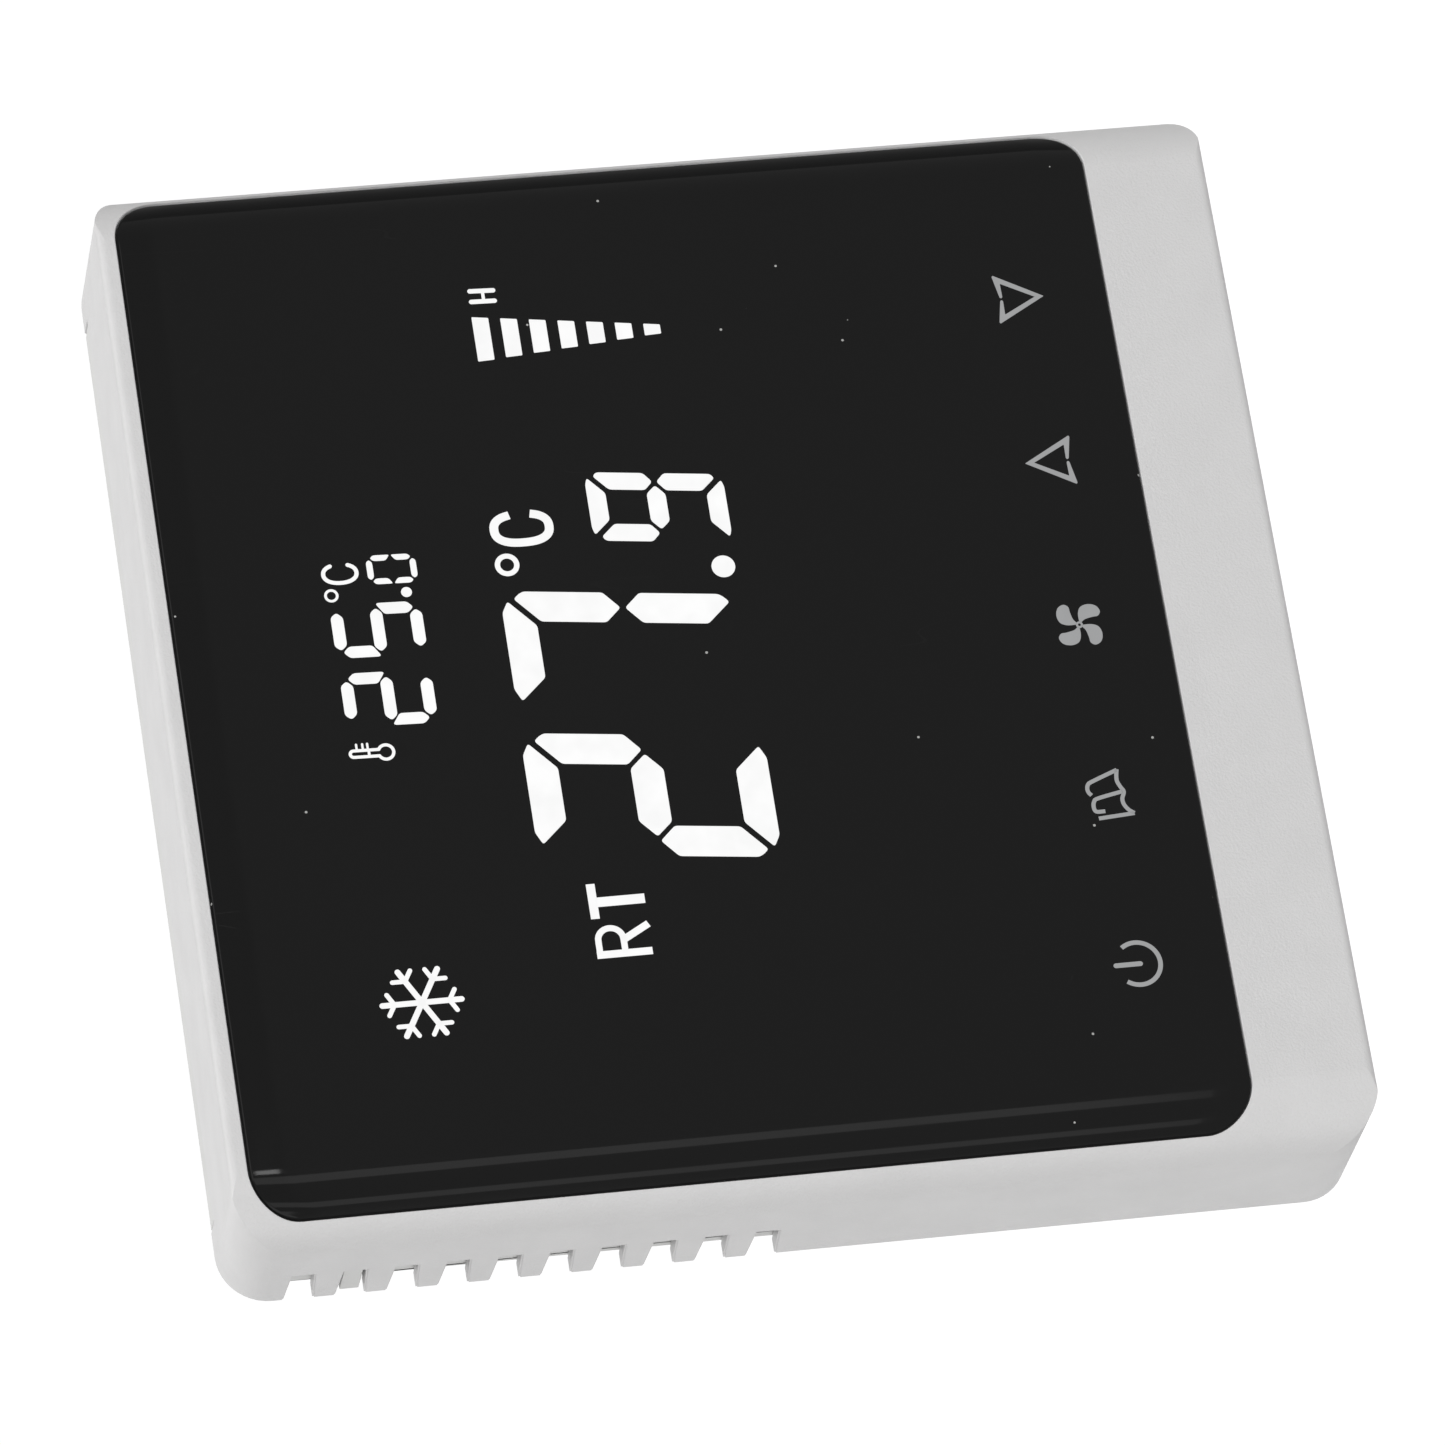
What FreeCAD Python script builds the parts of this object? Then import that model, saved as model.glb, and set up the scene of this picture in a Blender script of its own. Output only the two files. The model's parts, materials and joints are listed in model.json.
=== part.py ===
import FreeCAD, Part
import Sketcher
import math
import os
import re

# A wall thermostat for fan coils, 86 x 86 mm, as a parametric document in millimetres.
#
# Frame: X runs to the right as the user faces the thermostat, Z runs up, and Y runs into the
# wall. The origin is the centre of the wall face of the rear base, so what is in front of the
# wall has negative Y and the power box, which sits in the wall box, has positive Y.
#
# The rear base is screwed to the wall box by two slots and holds the power board, its relays
# and the terminal block. The front unit, with the touch lens, the display and the control
# board, pushes on to the rear base and plugs into its socket.

doc = FreeCAD.newDocument("WallThermostat")

# ---------------------------------------------------------------------------------------------
# Driving dimensions: alias, value in millimetres (or a count), what it is
# ---------------------------------------------------------------------------------------------
SIZES = [
    # front housing
    ("front_width", 86.0, "overall width of the front"),
    ("front_height", 86.0, "overall height of the front"),
    ("front_depth", 14.1, "from the wall to the face"),
    ("side_round", 5.0, "rounding of the two long side edges of the face"),
    ("corner_round", 3.8, "rounding of the outline's corners, seen from the front"),
    ("face_edge_round", 0.7, "rounding of the top and bottom edges of the face"),
    ("wall", 1.2, "thickness of the housing's side walls"),
    ("cavity_round", 4.1, "rounding inside the long side edges"),
    ("shelf", 1.0, "thickness of the shelf behind the lens"),
    ("joint_line", 0.15, "visible gap between two pieces"),
    ("past", 1.0, "how far a cutter runs past what it cuts"),
    # touch lens
    ("lens_thickness", 1.2, "thickness of the touch lens"),
    ("lens_sink", 0.05, "how far the lens lies below the face"),
    ("side_rim", 1.4, "rim of housing beside the lens, seen from the front"),
    ("top_rim", 1.5, "rim of housing above the lens"),
    ("chin", 9.5, "housing below the lens"),
    ("lens_corner", 3.6, "corner rounding of the lens"),
    ("lens_gap", 0.1, "gap all round the lens"),
    ("tape_thickness", 0.2, "thickness of the lens tape"),
    ("tape_inset", 1.5, "tape edge inside the lens edge"),
    # vents in the left wall
    ("vent_start", 4.9, "from the top of the front to the first vent"),
    ("vent_pitch", 3.87, "spacing of the vents"),
    ("vent_width", 1.65, "width of a vent at its closed end"),
    ("vent_mouth", 2.15, "width of a vent at the rear edge"),
    ("vent_length", 4.7, "length of a vent from the rear edge"),
    ("nose_gap", 0.1, "gap round the nose that fills the second vent"),
    # pry notch in the bottom wall
    ("pry_width", 12.0, "width of the screwdriver notch"),
    ("pry_height", 1.8, "height of the screwdriver notch"),
    # display
    ("display_width", 68.0, "width of the display glass"),
    ("display_height", 40.0, "height of the display glass"),
    ("display_offset", 1.0, "display centre, to the right of the middle"),
    ("display_drop", 27.0, "from the lens's top edge to the display centre"),
    ("glass_sheet", 1.05, "thickness of one sheet of the display cell"),
    ("cell_gap", 0.1, "gap from the tape plane to the display glass"),
    ("glass_ledge", 2.6, "ledge of the rear sheet under the front one"),
    ("fit", 0.2, "clearance round a piece that drops into a seat"),
    ("frame_wall", 1.2, "wall of the display frame"),
    ("film", 0.2, "thickness of a backlight film"),
    ("guide_thickness", 2.0, "thickness of the light guide"),
    ("led_length", 3.0, "length of a backlight lamp"),
    ("led_height", 1.2, "height of a backlight lamp"),
    ("led_pitch", 14.0, "spacing of the backlight lamps"),
    # control board
    ("board_front", 7.3, "from the wall to the control board's front face"),
    ("board_thickness", 1.6, "thickness of both boards"),
    ("board_margin", 1.1, "gap from the control board to the housing wall"),
    ("board_corner", 2.5, "corner rounding of the boards"),
    ("upper_screw_side", 10.0, "upper board screws, in from the side of the front"),
    ("upper_screw_top", 4.8, "upper board screws, down from the top of the front"),
    ("lower_screw_side", 6.5, "lower board screws, in from the side of the front"),
    ("lower_screw_bottom", 6.5, "lower board screws, up from the bottom of the front"),
    ("boss_radius", 2.3, "radius of a screw boss"),
    ("board_screw_radius", 0.95, "radius of a board screw's shank"),
    ("board_screw_length", 5.0, "length of a board screw under its head"),
    ("board_screw_head", 1.9, "radius of a board screw's head"),
    ("board_screw_rise", 1.3, "height of a board screw's head"),
    ("cross_slot", 2.4, "length of the crossed slots in a board screw's head"),
    ("screw_hole_gap", 0.15, "radial gap of a screw in a board or cover"),
    # touch keys
    ("key_pitch", 13.85, "spacing of the five touch keys"),
    ("key_rise", 6.65, "touch keys, above the lens's bottom edge"),
    ("key_window", 4.3, "radius of the hole behind a key"),
    ("spring_radius", 3.2, "mean radius of a key spring's coil"),
    ("spring_wire", 0.5, "diameter of the key spring's wire"),
    ("spring_pitch", 1.1, "pitch of a key spring's coil"),
    # parts on the control board
    ("controller_side", 14.0, "microcontroller, to the left of the middle"),
    ("controller_level", 10.0, "microcontroller, above the middle"),
    ("chip_size", 10.0, "side of the microcontroller"),
    ("chip_rise", 1.4, "height of a chip above the board"),
    ("chip_lead_pitch", 0.8, "spacing of the microcontroller's leads"),
    ("driver_side", 14.0, "display driver, to the right of the middle"),
    ("driver_level", 18.0, "display driver, above the middle"),
    ("driver_length", 15.4, "length of the display driver"),
    ("driver_width", 7.5, "width of the display driver"),
    ("driver_lead_pitch", 1.27, "spacing of the display driver's leads"),
    ("chip_edge", 0.2, "rounding of a chip's corners"),
    ("crystal_side", 14.0, "clock crystal, to the left of the middle"),
    ("crystal_level", 22.0, "clock crystal, above the middle"),
    ("crystal_radius", 1.0, "radius of the clock crystal"),
    ("crystal_length", 6.0, "length of the clock crystal"),
    ("buzzer_side", 24.0, "buzzer, to the right of the middle"),
    ("buzzer_level", 22.0, "buzzer, below the middle"),
    ("buzzer_radius", 4.5, "radius of the buzzer"),
    ("buzzer_rise", 2.8, "height of the buzzer"),
    ("buzzer_port", 0.9, "radius of the buzzer's sound hole"),
    ("cell_side", 24.0, "backup cell, to the left of the middle"),
    ("cell_drop", 22.0, "backup cell, below the middle"),
    ("cell_radius", 6.25, "radius of the backup cell"),
    ("cell_thickness", 2.0, "thickness of the backup cell"),
    ("cell_step", 0.5, "height of the backup cell's cap below its can"),
    ("holder_wall", 0.8, "wall of the cell holder"),
    ("holder_floor", 0.4, "floor of the cell holder"),
    # room sensor
    ("sensor_radius", 1.2, "radius of the sensor bead"),
    ("sensor_drop", 21.0, "sensor bead, down from the top of the front"),
    ("sensor_inset", 4.2, "sensor bead, in from the left side"),
    ("sensor_stand", 3.9, "from the wall to the sensor bead"),
    ("sensor_lead", 0.5, "diameter of a sensor lead"),
    ("sensor_spread", 1.5, "spacing of the sensor leads"),
    # plug between the boards
    ("plug_level", 12.0, "plug, below the middle"),
    ("plug_side", 15.8, "plug, to the right of the middle"),
    ("plug_pitch", 2.54, "spacing of the plug's pins"),
    ("plug_pin", 0.64, "side of a plug pin"),
    ("plug_body", 2.4, "height of the plug's insulator"),
    ("plug_margin", 0.2, "plug insulator beyond half a pitch"),
    ("pin_reach", 4.0, "length of a pin inside the socket"),
    ("pin_gap", 0.15, "gap round a pin in the socket"),
    ("pin_hole_gap", 0.1, "gap at a square pin's corners in a board's hole"),
    ("mating_gap", 0.05, "gap between the plug and the socket"),
    ("tail_length", 1.0, "length of a soldered tail beyond its board"),
    # rear base
    ("base_plate", 2.0, "thickness of the rear base's plate"),
    ("base_gap", 0.25, "gap from the rear base to the housing wall"),
    ("rim_height", 2.3, "height of the rim that shows along the top"),
    ("rim_end", 6.0, "from the side of the front to the end of the rim"),
    ("tongue_width", 9.0, "width of a holding tongue"),
    ("tongue_thickness", 1.3, "thickness of a holding tongue"),
    ("tongue_reach", 5.0, "from the wall to a tongue's tip"),
    ("tongue_level", 30.0, "holding tongues, above and below the middle"),
    ("nose_sink", 0.4, "how far the vent nose lies inside the wall's face"),
    ("screw_spacing", 60.0, "spacing of the two wall screws"),
    ("slot_width", 4.6, "width of a wall screw's slot"),
    ("slot_length", 8.0, "end-to-end length of a wall screw's slot"),
    # power box
    ("box_width", 51.0, "outside width of the power box"),
    ("box_height", 52.0, "outside height of the power box"),
    ("box_depth", 22.0, "depth of the power box behind the wall face"),
    ("box_wall", 1.8, "wall of the power box"),
    ("box_corner", 3.0, "corner rounding of the power box"),
    ("cover_rebate", 1.0, "rebate that the power cover lies in"),
    ("cover_thickness", 1.2, "thickness of the power cover"),
    ("power_board_front", 1.9, "from the wall face back to the power board"),
    ("post_side", 4.4, "side of a post under the power board"),
    ("ledge_side", 2.4, "side of a ledge under the power board's lower corners"),
    ("power_screw_grip", 4.0, "length of a power box screw in its post"),
    # parts on the power board
    ("part_gap", 0.4, "least gap between parts on the power board"),
    ("relay_width", 7.2, "width of a relay"),
    ("relay_length", 18.4, "length of a relay"),
    ("relay_rise", 15.0, "height of a relay"),
    ("relay_pitch", 7.9, "spacing of the relays"),
    ("relay_edge", 0.6, "rounding of a relay's case"),
    ("lead_radius", 0.4, "radius of a soldered lead"),
    ("lead_reach", 2.4, "length of a lead in the board"),
    ("lead_gap", 0.15, "radial gap of a lead in its hole"),
    ("core_width", 20.0, "width of the transformer's core"),
    ("core_height", 6.0, "thickness of the transformer's core stack"),
    ("core_limb", 6.0, "width of the core's middle limb"),
    ("core_window", 4.0, "width of a window in the core"),
    ("core_yoke", 2.8, "height of the core above and below its windows"),
    ("core_rise", 14.0, "height of the transformer"),
    ("bobbin_over", 2.6, "winding beyond the core stack"),
    ("capacitor_radius", 4.0, "radius of the smoothing capacitor"),
    ("capacitor_rise", 11.5, "height of the smoothing capacitor"),
    ("groove_radius", 0.4, "radius of the groove round the smoothing capacitor"),
    ("groove_level", 1.6, "groove of the smoothing capacitor above the board"),
    ("film_length", 10.5, "length of the film capacitor"),
    ("film_width", 5.0, "width of the film capacitor"),
    ("film_rise", 11.0, "height of the film capacitor"),
    ("varistor_radius", 4.6, "radius of the varistor"),
    ("varistor_width", 3.6, "thickness of the varistor"),
    ("varistor_foot", 6.4, "length of the varistor's foot"),
    ("fuse_radius", 3.8, "radius of the fuse"),
    ("fuse_rise", 8.0, "height of the fuse"),
    # terminals
    ("terminal_pitch", 5.08, "spacing of the terminals"),
    ("terminal_depth", 9.6, "depth of the terminal block, along Z"),
    ("terminal_rise", 15.6, "height of the terminal block above the board"),
    ("terminal_margin", 0.4, "terminal block from the power box's outer bottom"),
    ("cell_width", 4.3, "width of a terminal's cell"),
    ("cell_length", 7.4, "length of a terminal's cell, along Z"),
    ("cell_mouth_wall", 1.0, "wall between a cell and the wire side"),
    ("seat_height", 11.9, "top of a cell above the board"),
    ("seat_thickness", 1.7, "web that a terminal screw's head rests on"),
    ("wire_width", 3.4, "width of a wire entry"),
    ("wire_height", 3.3, "height of a wire entry"),
    ("clamp_width", 4.0, "outside width of a clamp cage"),
    ("clamp_length", 5.6, "length of a clamp cage, along Z"),
    ("clamp_rise", 7.0, "height of a clamp cage"),
    ("clamp_side", 0.5, "side wall of a clamp cage"),
    ("clamp_floor", 1.0, "floor of a clamp cage"),
    ("clamp_roof", 1.4, "threaded roof of a clamp cage"),
    ("clamp_lift", 2.0, "clamp cage above the board when it is open"),
    ("clamp_gap", 0.5, "gap between a clamp cage and the wire side of its cell"),
    ("tip_gap", 0.1, "gap between a terminal screw's tip and the contact bar"),
    ("bar_width", 2.6, "width of a contact bar"),
    ("bar_thickness", 0.8, "thickness of a contact bar"),
    ("screw_radius", 1.5, "radius of a terminal screw's shank"),
    ("screw_head", 2.05, "radius of a terminal screw's head"),
    ("screw_head_rise", 1.8, "height of a terminal screw's head"),
    ("screw_chamfer", 0.1, "chamfer at a terminal screw's ends"),
    ("thread_gap", 0.05, "radial gap of a terminal screw in its cage"),
    ("seat_gap", 0.15, "radial gap of a terminal screw in the block"),
    ("driver_slot", 0.6, "width of the slot in a terminal screw"),
    ("driver_slot_depth", 0.9, "depth of the slot in a terminal screw"),
]
VENT_COUNT = 10
KEY_NAMES = ["power", "menu", "fan", "up", "down"]
BACKLIGHT_COUNT = 4
CHIP_LEADS = 11
DRIVER_LEADS = 12
PLUG_COLUMNS = 5
PLUG_ROWS = 2
ARCS_PER_TURN = 4
RELAY_NAMES = ["fan_high", "fan_medium", "fan_low", "valve"]
TERMINAL_COUNT = 8

sheet = doc.addObject("Spreadsheet::Sheet", "Sizes")
for row, (alias, value, meaning) in enumerate(SIZES, start=1):
    sheet.set(f"A{row}", meaning)
    sheet.set(f"B{row}", str(value))
    sheet.setAlias(f"B{row}", alias)
doc.recompute()

ALIASES = {alias for alias, value, meaning in SIZES}
SCRATCH_CELL = "D1"


# ---------------------------------------------------------------------------------------------
# Helpers
# ---------------------------------------------------------------------------------------------
def sized(expression):
    """The expression with each alias written as a reference to the sheet."""

    def refer(word):
        return "Sizes." + word[0] if word[0] in ALIASES else word[0]

    return re.sub(r"[a-z_]+", refer, str(expression))


def number(expression):
    """What an expression comes to now, worked out by the sheet itself."""
    sheet.set(SCRATCH_CELL, "=" + re.sub(r"Sizes\.", "", sized(expression)))
    sheet.recompute()
    result = float(sheet.get(SCRATCH_CELL))
    sheet.clear(SCRATCH_CELL)
    return result


def bind(thing, **expressions):
    """Bind properties to expressions; a double underscore stands for a dot."""
    for name, expression in expressions.items():
        thing.setExpression(name.replace("__", "."), sized(expression))
    return thing


def place(thing, at):
    """Bind an object's position to three expressions."""
    return bind(thing, Placement__Base__x=at[0], Placement__Base__y=at[1], Placement__Base__z=at[2])


def block(name, centre, size):
    """A box given by its centre and its three sides."""
    box = doc.addObject("Part::Box", name)
    bind(box, Length=size[0], Width=size[1], Height=size[2])
    return place(box, [f"({middle}) - ({side}) / 2" for middle, side in zip(centre, size)])


AXIS_TURNS = {
    "X": FreeCAD.Rotation(FreeCAD.Vector(0, 1, 0), 90),
    "Y": FreeCAD.Rotation(FreeCAD.Vector(1, 0, 0), -90),
    "Z": FreeCAD.Rotation(),
}


def rod(name, start, radius, length, axis="Y"):
    """A cylinder from its start point along a positive axis."""
    cylinder = doc.addObject("Part::Cylinder", name)
    cylinder.Placement.Rotation = AXIS_TURNS[axis]
    bind(cylinder, Radius=radius, Height=length)
    return place(cylinder, start)


def fuse(name, pieces):
    """One solid from several that touch or overlap."""
    union = doc.addObject("Part::MultiFuse", name)
    union.Shapes = pieces
    union.Refine = True
    return union


def common(name, pieces):
    """What several solids share."""
    shared = doc.addObject("Part::MultiCommon", name)
    shared.Shapes = pieces
    return shared


def cut(name, base, tools):
    """A solid with others taken away."""
    tool = tools[0] if len(tools) == 1 else fuse(name + "_tools", tools)
    remainder = doc.addObject("Part::Cut", name)
    remainder.Base = base
    remainder.Tool = tool
    return remainder


def group(name, pieces):
    """Several separate solids in one node."""
    compound = doc.addObject("Part::Compound", name)
    compound.Links = pieces
    return compound


def rounded(name, base, radius, direction):
    """A solid with its edges along one direction rounded."""
    doc.recompute()
    fillet = doc.addObject("Part::Fillet", name)
    fillet.Base = base
    size = number(radius)
    chosen = []
    for index, edge in enumerate(base.Shape.Edges, start=1):
        if isinstance(edge.Curve, Part.Line) and abs(edge.Curve.Direction.dot(direction)) > 0.999:
            chosen.append((index, size, size))
    fillet.Edges = chosen
    return fillet


def origin_plane(body, role):
    """One of a body's own origin planes."""
    return next(feature for feature in body.Origin.OriginFeatures if feature.Role == role)


def new_sketch(body, name, role):
    """An empty sketch on one of a body's own origin planes."""
    sketch = body.newObject("Sketcher::SketchObject", name)
    sketch.AttachmentSupport = (origin_plane(body, role), [""])
    sketch.MapMode = "FlatFace"
    return sketch


def dimension(sketch, constraint, name, expression):
    """Add a named dimension to a sketch and bind it to the sheet."""
    index = sketch.addConstraint(constraint)
    sketch.renameConstraint(index, name)
    sketch.setExpression("Constraints." + name, sized(expression))


def draw_rectangle(sketch, tag, centre, width, height, corner=None):
    """Draw a rectangle, with round corners if a corner radius is given, in a sketch."""
    middle_x, middle_y = number(centre[0]), number(centre[1])
    half_x, half_y = number(width) / 2, number(height) / 2
    radius = number(corner) if corner else 0.0
    left, right = middle_x - half_x, middle_x + half_x
    low, high = middle_y - half_y, middle_y + half_y

    def vector(x, y):
        return FreeCAD.Vector(x, y, 0)

    runs = [
        (vector(left + radius, low), vector(right - radius, low)),
        (vector(right, low + radius), vector(right, high - radius)),
        (vector(right - radius, high), vector(left + radius, high)),
        (vector(left, high - radius), vector(left, low + radius)),
    ]
    lines = [sketch.addGeometry(Part.LineSegment(start, end), False) for start, end in runs]
    if corner:
        hubs = [(right, low, -1, 1), (right, high, -1, -1), (left, high, 1, -1), (left, low, 1, 1)]
        arcs = []
        for turn, (x, y, step_x, step_y) in enumerate(hubs):
            hub = vector(x + step_x * radius, y + step_y * radius)
            circle = Part.Circle(hub, FreeCAD.Vector(0, 0, 1), radius)
            start = math.radians(270 + 90 * turn)
            arcs.append(sketch.addGeometry(Part.ArcOfCircle(circle, start, start + math.pi / 2), False))
        for index in range(4):
            following = lines[(index + 1) % 4]
            sketch.addConstraint(Sketcher.Constraint("Tangent", lines[index], 2, arcs[index], 1))
            sketch.addConstraint(Sketcher.Constraint("Tangent", arcs[index], 2, following, 1))
        for arc in arcs[1:]:
            sketch.addConstraint(Sketcher.Constraint("Equal", arcs[0], arc))
        dimension(sketch, Sketcher.Constraint("Radius", arcs[0], radius), tag + "_corner", corner)
    else:
        for index in range(4):
            following = lines[(index + 1) % 4]
            sketch.addConstraint(Sketcher.Constraint("Coincident", lines[index], 2, following, 1))
    for index, kind in enumerate(["Horizontal", "Vertical", "Horizontal", "Vertical"]):
        sketch.addConstraint(Sketcher.Constraint(kind, lines[index]))
    edges = [
        ("_right", "DistanceX", lines[1], f"({centre[0]}) + ({width}) / 2"),
        ("_left", "DistanceX", lines[3], f"({centre[0]}) - ({width}) / 2"),
        ("_low", "DistanceY", lines[0], f"({centre[1]}) - ({height}) / 2"),
        ("_high", "DistanceY", lines[2], f"({centre[1]}) + ({height}) / 2"),
    ]
    for suffix, kind, line, expression in edges:
        dimension(sketch, Sketcher.Constraint(kind, line, 1, number(expression)), tag + suffix, expression)


def draw_circle(sketch, tag, centre, radius):
    """Draw a circle in a sketch."""
    x, y, size = number(centre[0]), number(centre[1]), number(radius)
    circle = sketch.addGeometry(Part.Circle(FreeCAD.Vector(x, y, 0), FreeCAD.Vector(0, 0, 1), size), False)
    dimension(sketch, Sketcher.Constraint("Radius", circle, size), tag + "_radius", radius)
    dimension(sketch, Sketcher.Constraint("DistanceX", circle, 3, x), tag + "_across", centre[0])
    dimension(sketch, Sketcher.Constraint("DistanceY", circle, 3, y), tag + "_up", centre[1])


def draw_polygon(sketch, tag, points):
    """Draw a closed polygon whose corners are pairs of expressions."""
    spots = [FreeCAD.Vector(number(x), number(y), 0) for x, y in points]
    count = len(spots)
    lines = []
    for index in range(count):
        segment = Part.LineSegment(spots[index], spots[(index + 1) % count])
        lines.append(sketch.addGeometry(segment, False))
    for index in range(count):
        following = lines[(index + 1) % count]
        sketch.addConstraint(Sketcher.Constraint("Coincident", lines[index], 2, following, 1))
    for index, (x, y) in enumerate(points):
        across = Sketcher.Constraint("DistanceX", lines[index], 1, spots[index].x)
        upwards = Sketcher.Constraint("DistanceY", lines[index], 1, spots[index].y)
        dimension(sketch, across, f"{tag}_across_{index}", x)
        dimension(sketch, upwards, f"{tag}_up_{index}", y)


def pad(body, name, sketch, length, midplane=False):
    """Pad a sketch; on the XZ plane this runs forwards, towards -Y."""
    feature = body.newObject("PartDesign::Pad", name)
    feature.Profile = sketch
    if midplane:
        feature.SideType = "Symmetric"
    bind(feature, Length=length)
    body.Tip = feature
    return feature


def pocket_through(body, name, sketch):
    """Pocket a sketch right through the body, both ways from its plane."""
    feature = body.newObject("PartDesign::Pocket", name)
    feature.Profile = sketch
    feature.Type = "ThroughAll"
    feature.SideType = "Symmetric"
    body.Tip = feature
    return feature


def plate(name, centre, rear, width, height, thickness, corner=None):
    """A body: a flat plate parallel to the wall, padded forwards from its rear face."""
    body = doc.addObject("PartDesign::Body", name)
    outline = new_sketch(body, name + "_outline", "XZ_Plane")
    draw_rectangle(outline, "outline", ("0", "0"), width, height, corner)
    pad(body, name + "_pad", outline, thickness)
    return place(body, (centre[0], rear, centre[1]))


def pierce(body, circles):
    """Round holes right through a plate, in the plate's own coordinates."""
    sketch = new_sketch(body, body.Name + "_hole_sketch", "XZ_Plane")
    for index, (centre, radius) in enumerate(circles):
        draw_circle(sketch, f"hole_{index}", centre, radius)
    pocket_through(body, body.Name + "_holes", sketch)
    return body


nodes = []


def finish(thing, label):
    """Name a finished sub-part; its label is its node and its file."""
    thing.Label = label
    nodes.append(thing)
    return thing


# ---------------------------------------------------------------------------------------------
# Places that several sub-parts share
# ---------------------------------------------------------------------------------------------
PAST = "past"
TOP = "front_height / 2"
BOTTOM = "-front_height / 2"
LENS_WIDTH = "front_width - 2 * side_rim"
LENS_HEIGHT = "front_height - top_rim - chin"
LENS_LEVEL = "(chin - top_rim) / 2"
LENS_BACK = "-front_depth + lens_sink + lens_thickness"
SHELF_BACK = "-front_depth + lens_sink + lens_thickness + tape_thickness + shelf"
DISPLAY = ("display_offset", "front_height / 2 - top_rim - display_drop")
GLASS_FRONT = f"{LENS_BACK} + cell_gap"
GLASS_BACK = f"{GLASS_FRONT} + 2 * glass_sheet"
FRAME_WIDTH = "display_width + 2 * fit + 2 * frame_wall"
FRAME_HEIGHT = "display_height + 2 * fit + 2 * frame_wall"
BOARD_FRONT = "-board_front"
BOARD_BACK = "-board_front + board_thickness"
BOARD_WIDTH = "front_width - 2 * wall - 2 * board_margin"
BOARD_HEIGHT = "front_height - 2 * wall - 2 * board_margin"
KEY_LEVEL = "-front_height / 2 + chin + key_rise"
KEYS = [f"{index - 2} * key_pitch" for index in range(len(KEY_NAMES))]
BOARD_SCREWS = [
    (f"{side} * (front_width / 2 - {inset})", level)
    for inset, level in [
        ("upper_screw_side", "front_height / 2 - upper_screw_top"),
        ("lower_screw_side", "-front_height / 2 + lower_screw_bottom"),
    ]
    for side in (-1, 1)
]
SENSOR = ("-front_width / 2 + sensor_inset", "front_height / 2 - sensor_drop")
SENSOR_LEADS = [(SENSOR[0], f"{SENSOR[1]} + {side} * sensor_spread / 2") for side in (-1, 1)]
PLUG_WIDTH = f"{PLUG_COLUMNS} * plug_pitch + 2 * plug_margin"
PLUG_HEIGHT = f"{PLUG_ROWS} * plug_pitch + 2 * plug_margin"
PLUG_PINS = [
    (f"plug_side + {column - (PLUG_COLUMNS - 1) / 2} * plug_pitch",
     f"-plug_level + {line - (PLUG_ROWS - 1) / 2} * plug_pitch")
    for column in range(PLUG_COLUMNS)
    for line in range(PLUG_ROWS)
]
PLUG_FACE = f"{BOARD_BACK} + plug_body"
PIN_TIP = f"{PLUG_FACE} + pin_reach"
PIN_HOLE = "plug_pin * sqrt(2) / 2 + pin_hole_gap"
LEG_HOLE = "bar_thickness * sqrt(2) / 2 + pin_hole_gap"
POWER_FRONT = "power_board_front"
POWER_BACK = "power_board_front + board_thickness"
BOX_INNER_WIDTH = "box_width - 2 * box_wall"
BOX_INNER_HEIGHT = "box_height - 2 * box_wall"
BOX_FLOOR = "box_depth - box_wall"
POST_LEVEL = "box_height / 2 - box_wall - post_side / 2"
POSTS = [(f"{side} * (box_width / 2 - box_wall - post_side / 2)", POST_LEVEL) for side in (-1, 1)]
BLOCK_WIDTH = f"{TERMINAL_COUNT} * terminal_pitch"
BLOCK_BOTTOM = "-box_height / 2 + terminal_margin"
BLOCK_LEVEL = f"{BLOCK_BOTTOM} + terminal_depth / 2"
CELL_LEVEL = f"{BLOCK_BOTTOM} + cell_mouth_wall + cell_length / 2"
CLAMP_LEVEL = f"{BLOCK_BOTTOM} + cell_mouth_wall + clamp_gap + clamp_length / 2"
TERMINALS = [f"{index - (TERMINAL_COUNT - 1) / 2} * terminal_pitch" for index in range(TERMINAL_COUNT)]
CLAMP_BASE = f"{POWER_BACK} + clamp_lift"
BAR_FRONT = f"{CLAMP_BASE} + clamp_floor + wire_height"
BAR_BACK = f"{BAR_FRONT} + bar_thickness"
LEG_LEVEL = f"{BLOCK_BOTTOM} + cell_mouth_wall + cell_length - bar_thickness"
SEAT = f"{POWER_BACK} + seat_height + seat_thickness"


# ---------------------------------------------------------------------------------------------
# Front housing and touch lens
# ---------------------------------------------------------------------------------------------
def side_rounded_slab(name, width, front, rounding, height):
    """A body with round long side edges: its section in X and Y is padded both ways along Z."""
    body = doc.addObject("PartDesign::Body", name)
    section = new_sketch(body, name + "_section", "XY_Plane")
    tail = "front_depth + side_round"
    middle = f"(({front}) + {tail}) / 2"
    draw_rectangle(section, "section", ("0", middle), width, f"{tail} - ({front})", rounding)
    pad(body, name + "_pad", section, height, midplane=True)
    return body


def slab_inside_face(name, inset, height="front_height"):
    """A slab whose front and side faces lie a set distance inside the housing's face."""
    width = f"front_width - 2 * ({inset})"
    return side_rounded_slab(name, width, f"-front_depth + {inset}", f"side_round - ({inset})", height)


def lens_outline(name, grow, rear, thickness):
    """The lens's rounded outline as a prism, larger by `grow` all round."""
    width = f"{LENS_WIDTH} + 2 * ({grow})"
    height = f"{LENS_HEIGHT} + 2 * ({grow})"
    return plate(name, ("0", LENS_LEVEL), rear, width, height, thickness, f"lens_corner + ({grow})")


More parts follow.
